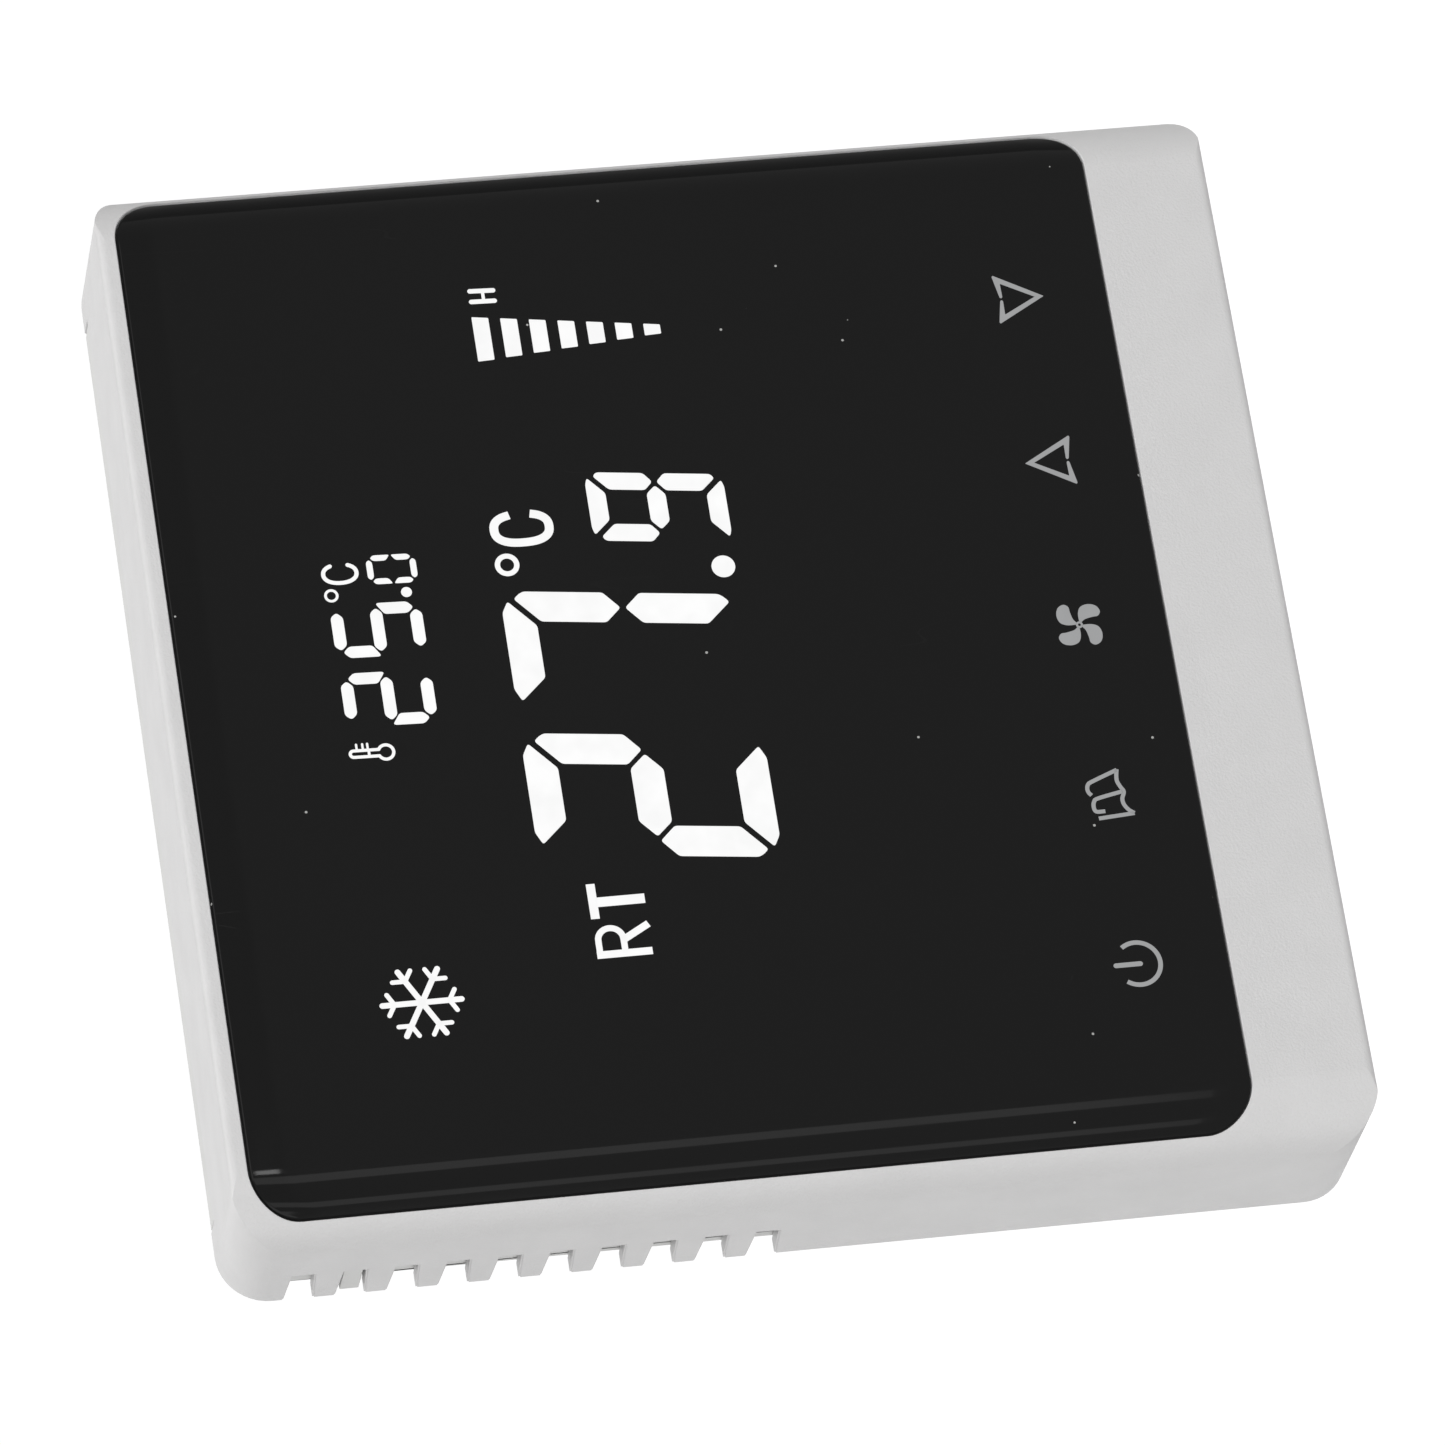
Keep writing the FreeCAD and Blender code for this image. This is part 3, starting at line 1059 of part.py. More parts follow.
def build_power_parts():
    for name, x in zip(RELAY_NAMES, RELAYS):
        case = block(f"relay_case_{name}", (x, f"{POWER_BACK} + relay_rise / 2", RELAY_LEVEL),
                     ("relay_width", "relay_rise", "relay_length"))
        smooth = rounded(f"relay_shell_{name}", case, "relay_edge", FreeCAD.Vector(0, 1, 0))
        finish(fuse(f"relay_{name}", [smooth] + leads("relay_" + name)), f"relay_{name}")

    x, z = TRANSFORMER
    middle = f"{POWER_BACK} + core_rise / 2"
    opening = "core_rise - 2 * core_yoke"
    core = block("core_stack", (x, middle, z), ("core_width", "core_rise", "core_height"))
    windows = [
        block(f"core_window_{index}", (f"{x} + {side} * (core_limb + core_window) / 2", middle, z),
              ("core_window", opening, f"core_height + {PAST}"))
        for index, side in enumerate((-1, 1))
    ]
    bobbin_width = "core_limb + 2 * core_window - fit"
    bobbin_length = "core_height + 2 * bobbin_over"
    winding = block("winding_block", (x, middle, z), (bobbin_width, f"{opening} - fit", bobbin_length))
    limb = block("winding_hollow", (x, middle, z), ("core_limb", "core_rise", "core_height"))
    coil = cut("transformer_coil", winding, [limb])
    foot_block = block("bobbin_foot", (x, f"{POWER_BACK} + (core_yoke + fit) / 2", z),
                       (bobbin_width, "core_yoke + fit", bobbin_length))
    stack = block("foot_hollow", (x, middle, z), ("core_width", "core_rise", "core_height"))
    foot = cut("transformer_foot", foot_block, [stack])
    bobbin = fuse("transformer_bobbin", [coil, foot] + leads("transformer"))
    finish(group("transformer", [cut("transformer_core", core, windows), bobbin]), "transformer")

    x, z = CAPACITOR
    can = rod("capacitor_can", (x, POWER_BACK, z), "capacitor_radius", "capacitor_rise")
    groove = doc.addObject("Part::Torus", "capacitor_groove")
    groove.Placement.Rotation = AXIS_TURNS["Y"]
    bind(groove, Radius1="capacitor_radius", Radius2="groove_radius")
    place(groove, (x, f"{POWER_BACK} + groove_level", z))
    finish(fuse("smoothing_capacitor", [cut("capacitor_body", can, [groove])] + leads("capacitor")),
           "smoothing_capacitor")

    x, z = VARISTOR
    disc = rod("varistor_disc", (f"{x} - varistor_width / 2", f"{POWER_BACK} + varistor_radius", z),
               "varistor_radius", "varistor_width", "X")
    foot = block("varistor_foot", (x, f"{POWER_BACK} + varistor_radius / 2", z),
                 ("varistor_width / 2", "varistor_radius", "varistor_foot"))
    finish(fuse("varistor", [disc, foot] + leads("varistor")), "varistor")

    x, z = FILM
    box = block("film_box", (x, f"{POWER_BACK} + film_rise / 2", z),
                ("film_length", "film_rise", "film_width"))
    smooth = rounded("film_shell", box, "fit", FreeCAD.Vector(0, 1, 0))
    finish(fuse("film_capacitor", [smooth] + leads("film")), "film_capacitor")

    x, z = FUSE
    case = rod("fuse_case", (x, POWER_BACK, z), "fuse_radius", "fuse_rise")
    finish(fuse("fuse", [case] + leads("fuse")), "fuse")


def build_socket():
    face = f"{PLUG_FACE} + mating_gap"
    rise = f"{POWER_FRONT} - ({face})"
    insulator = block("socket_insulator_block", ("plug_side", f"{face} + ({rise}) / 2", "-plug_level"),
                      (PLUG_WIDTH, rise, PLUG_HEIGHT))
    well_end = f"{PIN_TIP} + tip_gap"
    wells, tails = [], []
    well_side = "plug_pin + 2 * pin_gap"
    tail_end = f"{POWER_BACK} + tail_length"
    for index, (x, z) in enumerate(PLUG_PINS):
        wells.append(block(f"socket_well_{index}", (x, f"({face} - {PAST} + {well_end}) / 2", z),
                           (well_side, f"{well_end} - ({face}) + {PAST}", well_side)))
        tails.append(block(f"socket_tail_{index}", (x, f"({POWER_FRONT} + {tail_end}) / 2", z),
                           ("plug_pin", f"{tail_end} - ({POWER_FRONT})", "plug_pin")))
    finish(group("board_socket", [cut("socket_insulator", insulator, wells)] + tails), "board_socket")


build_power_board()
build_power_parts()
build_socket()


# ---------------------------------------------------------------------------------------------
# Terminals with rising clamps
# ---------------------------------------------------------------------------------------------
def build_terminal_block():
    body = block("terminal_body", ("0", f"{POWER_BACK} + terminal_rise / 2", BLOCK_LEVEL),
                 (BLOCK_WIDTH, "terminal_rise", "terminal_depth"))
    cutters = []
    for index, x in enumerate(TERMINALS, start=1):
        cutters.append(block(f"cell_{index}", (x, f"{POWER_BACK} + (seat_height - {PAST}) / 2", CELL_LEVEL),
                             ("cell_width", f"seat_height + {PAST}", "cell_length")))
        cutters.append(block(f"wire_entry_{index}", (x, f"{CLAMP_BASE} + clamp_floor + wire_height / 2",
                                                     f"{BLOCK_BOTTOM}"),
                             ("wire_width", "wire_height", "3 * cell_mouth_wall")))
        cutters.append(rod(f"screw_bore_{index}", (x, f"{SEAT} - seat_thickness - {PAST}", CLAMP_LEVEL),
                           "screw_radius + seat_gap", f"seat_thickness + 2 * {PAST}"))
        cutters.append(rod(f"head_recess_{index}", (x, SEAT, CLAMP_LEVEL), "screw_head + seat_gap",
                           "terminal_rise"))
    finish(cut("terminal_block", body, cutters), "terminal_block")


def build_terminal_contacts():
    bar_middle = f"({BAR_FRONT} + {BAR_BACK}) / 2"
    bar_low = f"{CLAMP_LEVEL} - clamp_length / 2"
    bar_high = f"{LEG_LEVEL} + bar_thickness"
    leg_middle = f"{LEG_LEVEL} + bar_thickness / 2"
    pin_front = f"{POWER_FRONT} - tail_length"
    pin_back = f"{POWER_BACK} + bar_thickness"
    contacts = []
    for index, x in enumerate(TERMINALS, start=1):
        contacts.append(fuse(f"contact_{index}", [
            block(f"contact_bar_{index}", (x, bar_middle, f"({bar_low} + {bar_high}) / 2"),
                  ("bar_width", "bar_thickness", f"{bar_high} - ({bar_low})")),
            block(f"contact_leg_{index}", (x, f"({POWER_BACK} + {BAR_BACK}) / 2", leg_middle),
                  ("bar_width", f"{BAR_BACK} - ({POWER_BACK})", "bar_thickness")),
            block(f"contact_pin_{index}", (x, f"({pin_front} + {pin_back}) / 2", leg_middle),
                  ("bar_thickness", f"{pin_back} - ({pin_front})", "bar_thickness")),
        ]))
    finish(group("terminal_contacts", contacts), "terminal_contacts")


def build_terminal_clamp(index, x):
    """A clamp cage: a square ring with a threaded roof, round the contact bar."""
    ring = block(f"clamp_ring_{index}", (x, f"{CLAMP_BASE} + clamp_rise / 2", CLAMP_LEVEL),
                 ("clamp_width", "clamp_rise", "clamp_length"))
    opening = "clamp_rise - clamp_floor - clamp_roof"
    inside = block(f"clamp_inside_{index}", (x, f"{CLAMP_BASE} + clamp_floor + ({opening}) / 2", CLAMP_LEVEL),
                   ("clamp_width - 2 * clamp_side", opening, f"clamp_length + {PAST}"))
    thread = rod(f"clamp_thread_{index}", (x, f"{CLAMP_BASE} + clamp_rise / 2", CLAMP_LEVEL),
                 "screw_radius + thread_gap", "clamp_rise")
    finish(cut(f"terminal_clamp_{index}", ring, [inside, thread]), f"terminal_clamp_{index}")


def build_terminal_screw(index, x):
    """A slotted screw turned about Y, its head on the web of the terminal block."""
    body = doc.addObject("PartDesign::Body", f"terminal_screw_{index}")
    profile = new_sketch(body, f"screw_profile_{index}", "XY_Plane")
    tip = f"{BAR_BACK} + tip_gap - ({SEAT})"
    corners = [
        ("0", tip),
        ("screw_radius - screw_chamfer", tip),
        ("screw_radius", f"{tip} + screw_chamfer"),
        ("screw_radius", "0"),
        ("screw_head", "0"),
        ("screw_head", "screw_head_rise - screw_chamfer"),
        ("screw_head - screw_chamfer", "screw_head_rise"),
        ("0", "screw_head_rise"),
    ]
    draw_polygon(profile, "screw", corners)
    turned = body.newObject("PartDesign::Revolution", f"screw_turned_{index}")
    turned.Profile = profile
    turned.ReferenceAxis = (profile, ["V_Axis"])
    turned.Angle = 360
    body.Tip = turned
    slot = new_sketch(body, f"screw_slot_{index}", "XY_Plane")
    draw_rectangle(slot, "slot", ("0", "screw_head_rise"), "driver_slot", "2 * driver_slot_depth")
    pocket_through(body, f"screw_slot_cut_{index}", slot)
    place(body, (x, SEAT, CLAMP_LEVEL))
    finish(body, f"terminal_screw_{index}")


build_terminal_block()
build_terminal_contacts()
for number_of_terminal, terminal_x in enumerate(TERMINALS, start=1):
    build_terminal_clamp(number_of_terminal, terminal_x)
    build_terminal_screw(number_of_terminal, terminal_x)


# ---------------------------------------------------------------------------------------------
# Check everything, then write one STEP file for each sub-part
# ---------------------------------------------------------------------------------------------
doc.recompute()
for thing in doc.Objects:
    if "Invalid" in thing.State or "Error" in thing.State:
        raise RuntimeError(f"{thing.Name} failed: {thing.State}")
labels = [node.Label for node in nodes]
if len(set(labels)) != len(labels):
    raise RuntimeError("two sub-parts share a label")
for node in nodes:
    if node.Shape.isNull() or not node.Shape.isValid() or not node.Shape.Solids:
        raise RuntimeError(f"{node.Label} has no valid solid")

os.makedirs("parts", exist_ok=True)
for node in nodes:
    node.Shape.exportStep(os.path.join("parts", node.Label + ".step"))
print(f"{len(nodes)} sub-parts written")
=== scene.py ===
"""Looks of a wall thermostat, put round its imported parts.

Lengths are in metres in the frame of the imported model: X to the right as the user faces the
thermostat, Y into the wall, Z up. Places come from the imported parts' boxes.
"""
import json
import logging
import math
from dataclasses import dataclass, field
from enum import Enum
from typing import Callable, Optional, Sequence

import bmesh
import bpy
import numpy as np
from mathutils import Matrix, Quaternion, Vector

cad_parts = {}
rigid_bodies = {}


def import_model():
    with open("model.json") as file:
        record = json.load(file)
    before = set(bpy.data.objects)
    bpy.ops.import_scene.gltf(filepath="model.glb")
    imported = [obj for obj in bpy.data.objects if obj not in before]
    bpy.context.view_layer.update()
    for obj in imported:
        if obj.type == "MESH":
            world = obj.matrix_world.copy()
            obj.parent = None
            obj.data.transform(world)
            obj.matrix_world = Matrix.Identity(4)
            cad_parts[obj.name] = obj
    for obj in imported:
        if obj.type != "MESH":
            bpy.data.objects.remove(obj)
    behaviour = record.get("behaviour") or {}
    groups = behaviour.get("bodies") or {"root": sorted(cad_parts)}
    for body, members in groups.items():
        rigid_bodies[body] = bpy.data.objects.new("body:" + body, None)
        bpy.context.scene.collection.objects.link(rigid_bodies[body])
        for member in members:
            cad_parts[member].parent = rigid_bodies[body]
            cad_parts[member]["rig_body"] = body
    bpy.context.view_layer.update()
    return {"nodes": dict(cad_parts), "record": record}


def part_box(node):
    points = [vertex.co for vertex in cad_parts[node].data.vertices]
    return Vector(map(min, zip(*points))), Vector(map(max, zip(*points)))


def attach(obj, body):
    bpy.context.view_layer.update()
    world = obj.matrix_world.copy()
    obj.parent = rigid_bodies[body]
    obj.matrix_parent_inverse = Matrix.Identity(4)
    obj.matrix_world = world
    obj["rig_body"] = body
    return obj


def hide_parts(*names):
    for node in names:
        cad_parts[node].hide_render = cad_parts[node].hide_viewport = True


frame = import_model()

log = logging.getLogger("thermostat")
MM = 0.001
WHITE = (1.0, 1.0, 1.0, 1.0)
Colour = tuple[float, float, float]


class Body(Enum):
    """The bodies that new pieces ride on."""

    WALL = "wall_unit"
    FRONT = "front_unit"


class Glow(Enum):
    """How a symbol in the lens is lit."""

    BRIGHT = "lit_segment"
    DIM = "lit_symbol"


# --------------------------------------------------------------------------------------------
# Shader tools
# --------------------------------------------------------------------------------------------
class Nodes:
    """A node tree with short calls for adding and joining nodes."""

    def __init__(self, tree: bpy.types.NodeTree) -> None:
        """Keep the tree to work in.

        Args:
            tree: the node tree of a material, a group or the world.
        """
        self.tree = tree

    def add(self, kind: str, settings: Optional[dict] = None, **inputs: object) -> bpy.types.Node:
        """Add a node, set its own settings, and set or join its inputs.

        Args:
            kind: the node's type without the ShaderNode prefix.
            settings: attributes of the node.
            inputs: values or output sockets by input name, with spaces as underscores.

        Returns:
            The new node.
        """
        node = self.tree.nodes.new("ShaderNode" + kind)
        for name, value in (settings or {}).items():
            setattr(node, name, value)
        for name, value in inputs.items():
            self.set(node, name.replace("_", " "), value)
        return node

    def set(self, node: bpy.types.Node, name: str, value: object) -> None:
        """Join an output to an input, or set the input's own value.

        Args:
            node: the node that has the input.
            name: the input's name, or its number as text.
            value: an output socket, or a plain value.
        """
        socket = node.inputs[int(name)] if name.isdigit() else node.inputs[name]
        if isinstance(value, bpy.types.NodeSocket):
            self.tree.links.new(value, socket)
        else:
            socket.default_value = value

    def maths(self, operation: str, first: object, second: object = 0.0) -> bpy.types.NodeSocket:
        """One sum on one or two values.

        Args:
            operation: Blender's name for the sum.
            first: the first value or socket.
            second: the second value or socket, where the sum has one.

        Returns:
            The result's socket.
        """
        node = self.add("Math", {"operation": operation})
        self.set(node, "0", first)
        self.set(node, "1", second)
        return node.outputs[0]

    def ramp(self, value: bpy.types.NodeSocket, low: float, high: float, start: float = 0.0,
             end: float = 1.0) -> bpy.types.NodeSocket:
        """Map a value from low..high to start..end, clamped.

        Args:
            value: the socket to map.
            low: the value that gives start.
            high: the value that gives end.
            start: the result at low.
            end: the result at high.

        Returns:
            The mapped value's socket.
        """
        node = self.add("MapRange", {"clamp": True}, Value=value, From_Min=low, From_Max=high,
                        To_Min=start, To_Max=end)
        return node.outputs[0]

    def tint(self, factor: object, first: object, second: object) -> bpy.types.NodeSocket:
        """Mix two colours.

        Args:
            factor: how much of the second colour, as a value or socket.
            first: a colour or socket.
            second: a colour or socket.

        Returns:
            The mixed colour's socket.
        """
        node = self.add("Mix", {"data_type": "RGBA"})
        for index, value in ((0, factor), (6, first), (7, second)):
            if isinstance(value, tuple):
                value = (*value, 1.0)[:4]
            self.set(node, str(index), value)
        return node.outputs[2]

    def mix(self, factor: object, first: bpy.types.NodeSocket,
            second: bpy.types.NodeSocket) -> bpy.types.NodeSocket:
        """Mix two shaders.

        Args:
            factor: how much of the second shader, as a value or socket.
            first: a shader's socket.
            second: a shader's socket.

        Returns:
            The mixed shader's socket.
        """
        node = self.add("MixShader")
        for index, value in enumerate((factor, first, second)):
            self.set(node, str(index), value)
        return node.outputs[0]


@dataclass(frozen=True)
class Pattern:
    """A shared shader group: value inputs with their usual values, value outputs, and its nodes."""

    inputs: dict[str, float]
    outputs: tuple[str, ...]
    fill: Callable[[Nodes, bpy.types.Node, bpy.types.Node], None]

    def group(self, name: str) -> bpy.types.NodeTree:
        """Give the pattern's group, made on first use, with a Vector input beside its values.

        Args:
            name: the group's name.

        Returns:
            The group.
        """
        if name in bpy.data.node_groups:
            return bpy.data.node_groups[name]
        tree = bpy.data.node_groups.new(name, "ShaderNodeTree")
        tree.interface.new_socket("Vector", in_out="INPUT", socket_type="NodeSocketVector")
        for label, value in self.inputs.items():
            socket = tree.interface.new_socket(label, in_out="INPUT", socket_type="NodeSocketFloat")
            socket.default_value = value
        for label in self.outputs:
            tree.interface.new_socket(label, in_out="OUTPUT", socket_type="NodeSocketFloat")
        start, end = tree.nodes.new("NodeGroupInput"), tree.nodes.new("NodeGroupOutput")
        self.fill(Nodes(tree), start, end)
        return tree


def fill_grain(nodes: Nodes, start: bpy.types.Node, end: bpy.types.Node) -> None:
    """Moulded grain: fine noise as a height, and slow mottling at a small share of its density.

    Args:
        nodes: the group's nodes.
        start: the group's input node.
        end: the group's output node.
    """
    mottle_share = 0.045
    fine = nodes.add("TexNoise", Vector=start.outputs["Vector"], Scale=start.outputs["Density"],
                     Detail=3.0, Roughness=0.6)
    slow = nodes.maths("MULTIPLY", start.outputs["Density"], mottle_share)
    cloud = nodes.add("TexNoise", Vector=start.outputs["Vector"], Scale=slow, Detail=4.0,
                      Roughness=0.55)
    nodes.set(end, "Height", fine.outputs[0])
    nodes.set(end, "Cloud", nodes.ramp(cloud.outputs[0], 0.3, 0.7))


def fill_specks(nodes: Nodes, start: bpy.types.Node, end: bpy.types.Node) -> None:
    """Dust: a few small round specks, one in some of the cells of a Voronoi pattern.

    Args:
        nodes: the group's nodes.
        start: the group's input node.
        end: the group's output node.
    """
    cells = nodes.add("TexVoronoi", Vector=start.outputs["Vector"], Scale=start.outputs["Density"])
    chosen = nodes.add("SeparateColor", Color=cells.outputs["Color"])
    rare = nodes.maths("GREATER_THAN", chosen.outputs[0], start.outputs["Rarity"])
    size = nodes.maths("MULTIPLY", chosen.outputs[1], start.outputs["Size"])
    near = nodes.maths("LESS_THAN", cells.outputs["Distance"], size)
    nodes.set(end, "Mask", nodes.maths("MULTIPLY", rare, near))


def fill_scratches(nodes: Nodes, start: bpy.types.Node, end: bpy.types.Node) -> None:
    """Hair scratches: thin lines where a stretched noise crosses its middle level, in patches.

    Args:
        nodes: the group's nodes.
        start: the group's input node.
        end: the group's output node.
    """
    turn, stretch, patches, patch_edge = (0.3, 0.9, 0.5), (1.0, 1.0, 0.12), 90.0, (0.60, 0.66)
    turned = nodes.add("Mapping", Vector=start.outputs["Vector"])
    turned.inputs["Rotation"].default_value = turn
    turned.inputs["Scale"].default_value = stretch
    wave = nodes.add("TexNoise", Vector=turned.outputs[0], Scale=start.outputs["Density"], Detail=1.0)
    line = nodes.maths("ABSOLUTE", nodes.maths("SUBTRACT", wave.outputs[0], 0.5))
    thin = nodes.maths("LESS_THAN", line, start.outputs["Width"])
    patch = nodes.add("TexNoise", Vector=start.outputs["Vector"], Scale=patches, Detail=0.0)
    nodes.set(end, "Mask", nodes.maths("MULTIPLY", thin, nodes.ramp(patch.outputs[0], *patch_edge)))


PATTERNS = {
    "grain": Pattern({"Density": 4000.0}, ("Height", "Cloud"), fill_grain),
    "specks": Pattern({"Density": 600.0, "Rarity": 0.96, "Size": 0.1}, ("Mask",), fill_specks),
    "scratches": Pattern({"Density": 300.0, "Width": 0.002}, ("Mask",), fill_scratches),
}


def shaded(colour: Colour, share: float) -> Colour:
    """Give the colour with each channel multiplied by a share, up to 1."""
    return tuple(min(1.0, channel * share) for channel in colour)


@dataclass(frozen=True)
class Finish:
    """A surface finish. Subclasses wire the pattern and this makes the material once."""

    name: str
    colour: Colour
    roughness: float = 0.5

    def material(self) -> bpy.types.Material:
        """Give the finish's material, made on first use.

        Returns:
            The material.
        """
        title = f"{self.name}_finish"
        if title in bpy.data.materials:
            return bpy.data.materials[title]
        made = bpy.data.materials.new(title)
        made.use_nodes = True
        made.diffuse_color = (*self.colour, 1.0)
        nodes = Nodes(made.node_tree)
        shader = made.node_tree.nodes["Principled BSDF"]
        shader.inputs["Base Color"].default_value = (*self.colour, 1.0)
        shader.inputs["Roughness"].default_value = self.roughness
        where = nodes.add("TexCoord").outputs["Object"]
        self.wire(nodes, shader, where)
        return made

    def wire(self, nodes: Nodes, shader: bpy.types.Node, where: bpy.types.NodeSocket) -> None:
        """Add the finish's pattern to the shader at the coordinates. The plain finish has none."""

    def pattern(self, nodes: Nodes, name: str, where: bpy.types.NodeSocket,
                **values: float) -> bpy.types.Node:
        """Place a shared group in the material.

        Args:
            nodes: the material's nodes.
            name: the group's name.
            where: the coordinates' socket.
            values: the group's inputs.

        Returns:
            The group's node.
        """
        node = nodes.add("Group")
        node.node_tree = PATTERNS[name].group(name)
        nodes.set(node, "Vector", where)
        for label, value in values.items():
            nodes.set(node, label, value)
        return node

    def bump(self, nodes: Nodes, shader: bpy.types.Node, height: bpy.types.NodeSocket,
             depth: float) -> None:
        """Let a height pattern bend the surface's normal.

        Args:
            nodes: the material's nodes.
            shader: the Principled node.
            height: the height's socket, from 0 to 1.
            depth: the height of 1, in metres.
        """
        node = nodes.add("Bump", Height=height, Distance=depth)
        nodes.set(shader, "Normal", node.outputs[0])


@dataclass(frozen=True)
class Moulded(Finish):
    """Injection moulded plastic: fine spark grain, faint mottling and a few dust specks.

    depth is the grain's height, mottle the share by which the colour darkens, and unevenness how
    far the roughness goes either way.
    """

    density: float = 4200.0
    depth: float = 0.000012
    mottle: float = 0.03
    dust: Colour = (0.30, 0.29, 0.28)
    dust_density: float = 340.0
    dust_rarity: float = 0.97
    dust_size: float = 0.05
    unevenness: float = 0.05

    def wire(self, nodes: Nodes, shader: bpy.types.Node, where: bpy.types.NodeSocket) -> None:
        """Grain on the normal, mottling on the colour and roughness, specks on the colour.

        Args:
            nodes: the material's nodes.
            shader: the Principled node.
            where: the coordinates' socket.
        """
        grain = self.pattern(nodes, "grain", where, Density=self.density)
        base = nodes.tint(grain.outputs["Cloud"], shaded(self.colour, 1 - self.mottle), self.colour)
        specks = self.pattern(nodes, "specks", where, Density=self.dust_density,
                              Rarity=self.dust_rarity, Size=self.dust_size)
        nodes.set(shader, "Base Color", nodes.tint(specks.outputs["Mask"], base, self.dust))
        rough = nodes.ramp(grain.outputs["Cloud"], 0.0, 1.0, self.roughness + self.unevenness,
                           self.roughness - self.unevenness)
        nodes.set(shader, "Roughness", rough)
        self.bump(nodes, shader, grain.outputs["Height"], self.depth)


@dataclass(frozen=True)
class Gloss(Finish):
    """Polished black lens: faint smears, hair scratches and dust.

    The smears' and scratches' roughness is what they add to the clean lens's.
    """

    refraction: float = 1.18
    smear_density: float = 55.0
    smear_roughness: float = 0.05
    scratch_density: float = 260.0
    scratch_width: float = 0.0012
    scratch_roughness: float = 0.2
    dust: Colour = (0.42, 0.42, 0.41)
    dust_density: float = 600.0
    dust_rarity: float = 0.93
    dust_size: float = 0.11

    def wire(self, nodes: Nodes, shader: bpy.types.Node, where: bpy.types.NodeSocket) -> None:
        """Smears and scratches on the roughness, dust on the colour.

        Args:
            nodes: the material's nodes.
            shader: the Principled node.
            where: the coordinates' socket.
        """
        shader.inputs["IOR"].default_value = self.refraction
        smear = nodes.add("TexNoise", Vector=where, Scale=self.smear_density, Detail=3.0, Distortion=1.5)
        scratch = self.pattern(nodes, "scratches", where, Density=self.scratch_density,
                               Width=self.scratch_width)
        rough = nodes.ramp(smear.outputs[0], 0.35, 0.75, self.roughness,
                           self.roughness + self.smear_roughness)
        more = nodes.maths("MULTIPLY", scratch.outputs["Mask"], self.scratch_roughness)
        nodes.set(shader, "Roughness", nodes.maths("ADD", rough, more))
        specks = self.pattern(nodes, "specks", where, Density=self.dust_density,
                              Rarity=self.dust_rarity, Size=self.dust_size)
        nodes.set(shader, "Base Color", nodes.tint(specks.outputs["Mask"], self.colour, self.dust))


@dataclass(frozen=True)
class Lit(Finish):
    """A lit segment or symbol, a little uneven as light through a film is.

    dimmest and unlit are shares of the colour: its weakest glow, and the ink without any light.
    """

    power: float = 1.0
    cloud_density: float = 420.0
    dimmest: float = 0.93
    unlit: float = 0.06

    def wire(self, nodes: Nodes, shader: bpy.types.Node, where: bpy.types.NodeSocket) -> None:
        """Uneven emission over a nearly black base.

        Args:
            nodes: the material's nodes.
            shader: the Principled node.
            where: the coordinates' socket.
        """
        cloud = nodes.add("TexNoise", Vector=where, Scale=self.cloud_density, Detail=2.0)
        light = nodes.tint(nodes.ramp(cloud.outputs[0], 0.35, 0.65), shaded(self.colour, self.dimmest),
                           self.colour)
        nodes.set(shader, "Emission Color", light)
        ink = nodes.tint(cloud.outputs[0], shaded(self.colour, self.unlit), (0.0, 0.0, 0.0))
        nodes.set(shader, "Base Color", ink)
        shader.inputs["Emission Strength"].default_value = self.power


@dataclass(frozen=True)
class Metal(Finish):
    """Plated or bare metal, with fine streaks along one axis.

    streak squeezes the pattern along an axis, smoother and rougher are the roughness's reach
    either way, and tarnish is a share of the colour.
    """

    streak: tuple[float, float, float] = (1.0, 0.05, 1.0)
    density: float = 2500.0
    smoother: float = 0.06
    rougher: float = 0.08
    tarnish: float = 0.82
    tarnish_density: float = 320.0
    depth: float = 0.000003

    def wire(self, nodes: Nodes, shader: bpy.types.Node, where: bpy.types.NodeSocket) -> None:
        """Streaks on the roughness, tarnish on the colour.

        Args:
            nodes: the material's nodes.
            shader: the Principled node.
            where: the coordinates' socket.
        """
        shader.inputs["Metallic"].default_value = 1.0
        drawn = nodes.add("Mapping", Vector=where)
        drawn.inputs["Scale"].default_value = self.streak
        lines = nodes.add("TexNoise", Vector=drawn.outputs[0], Scale=self.density, Detail=2.0)
        rough = nodes.ramp(lines.outputs[0], 0.3, 0.7, self.roughness - self.smoother,
                           self.roughness + self.rougher)
        nodes.set(shader, "Roughness", rough)
        cloud = nodes.add("TexNoise", Vector=where, Scale=self.tarnish_density, Detail=3.0)
        dull = nodes.tint(nodes.ramp(cloud.outputs[0], 0.4, 0.7), self.colour,
                          shaded(self.colour, self.tarnish))
        nodes.set(shader, "Base Color", dull)
        self.bump(nodes, shader, lines.outputs[0], self.depth)


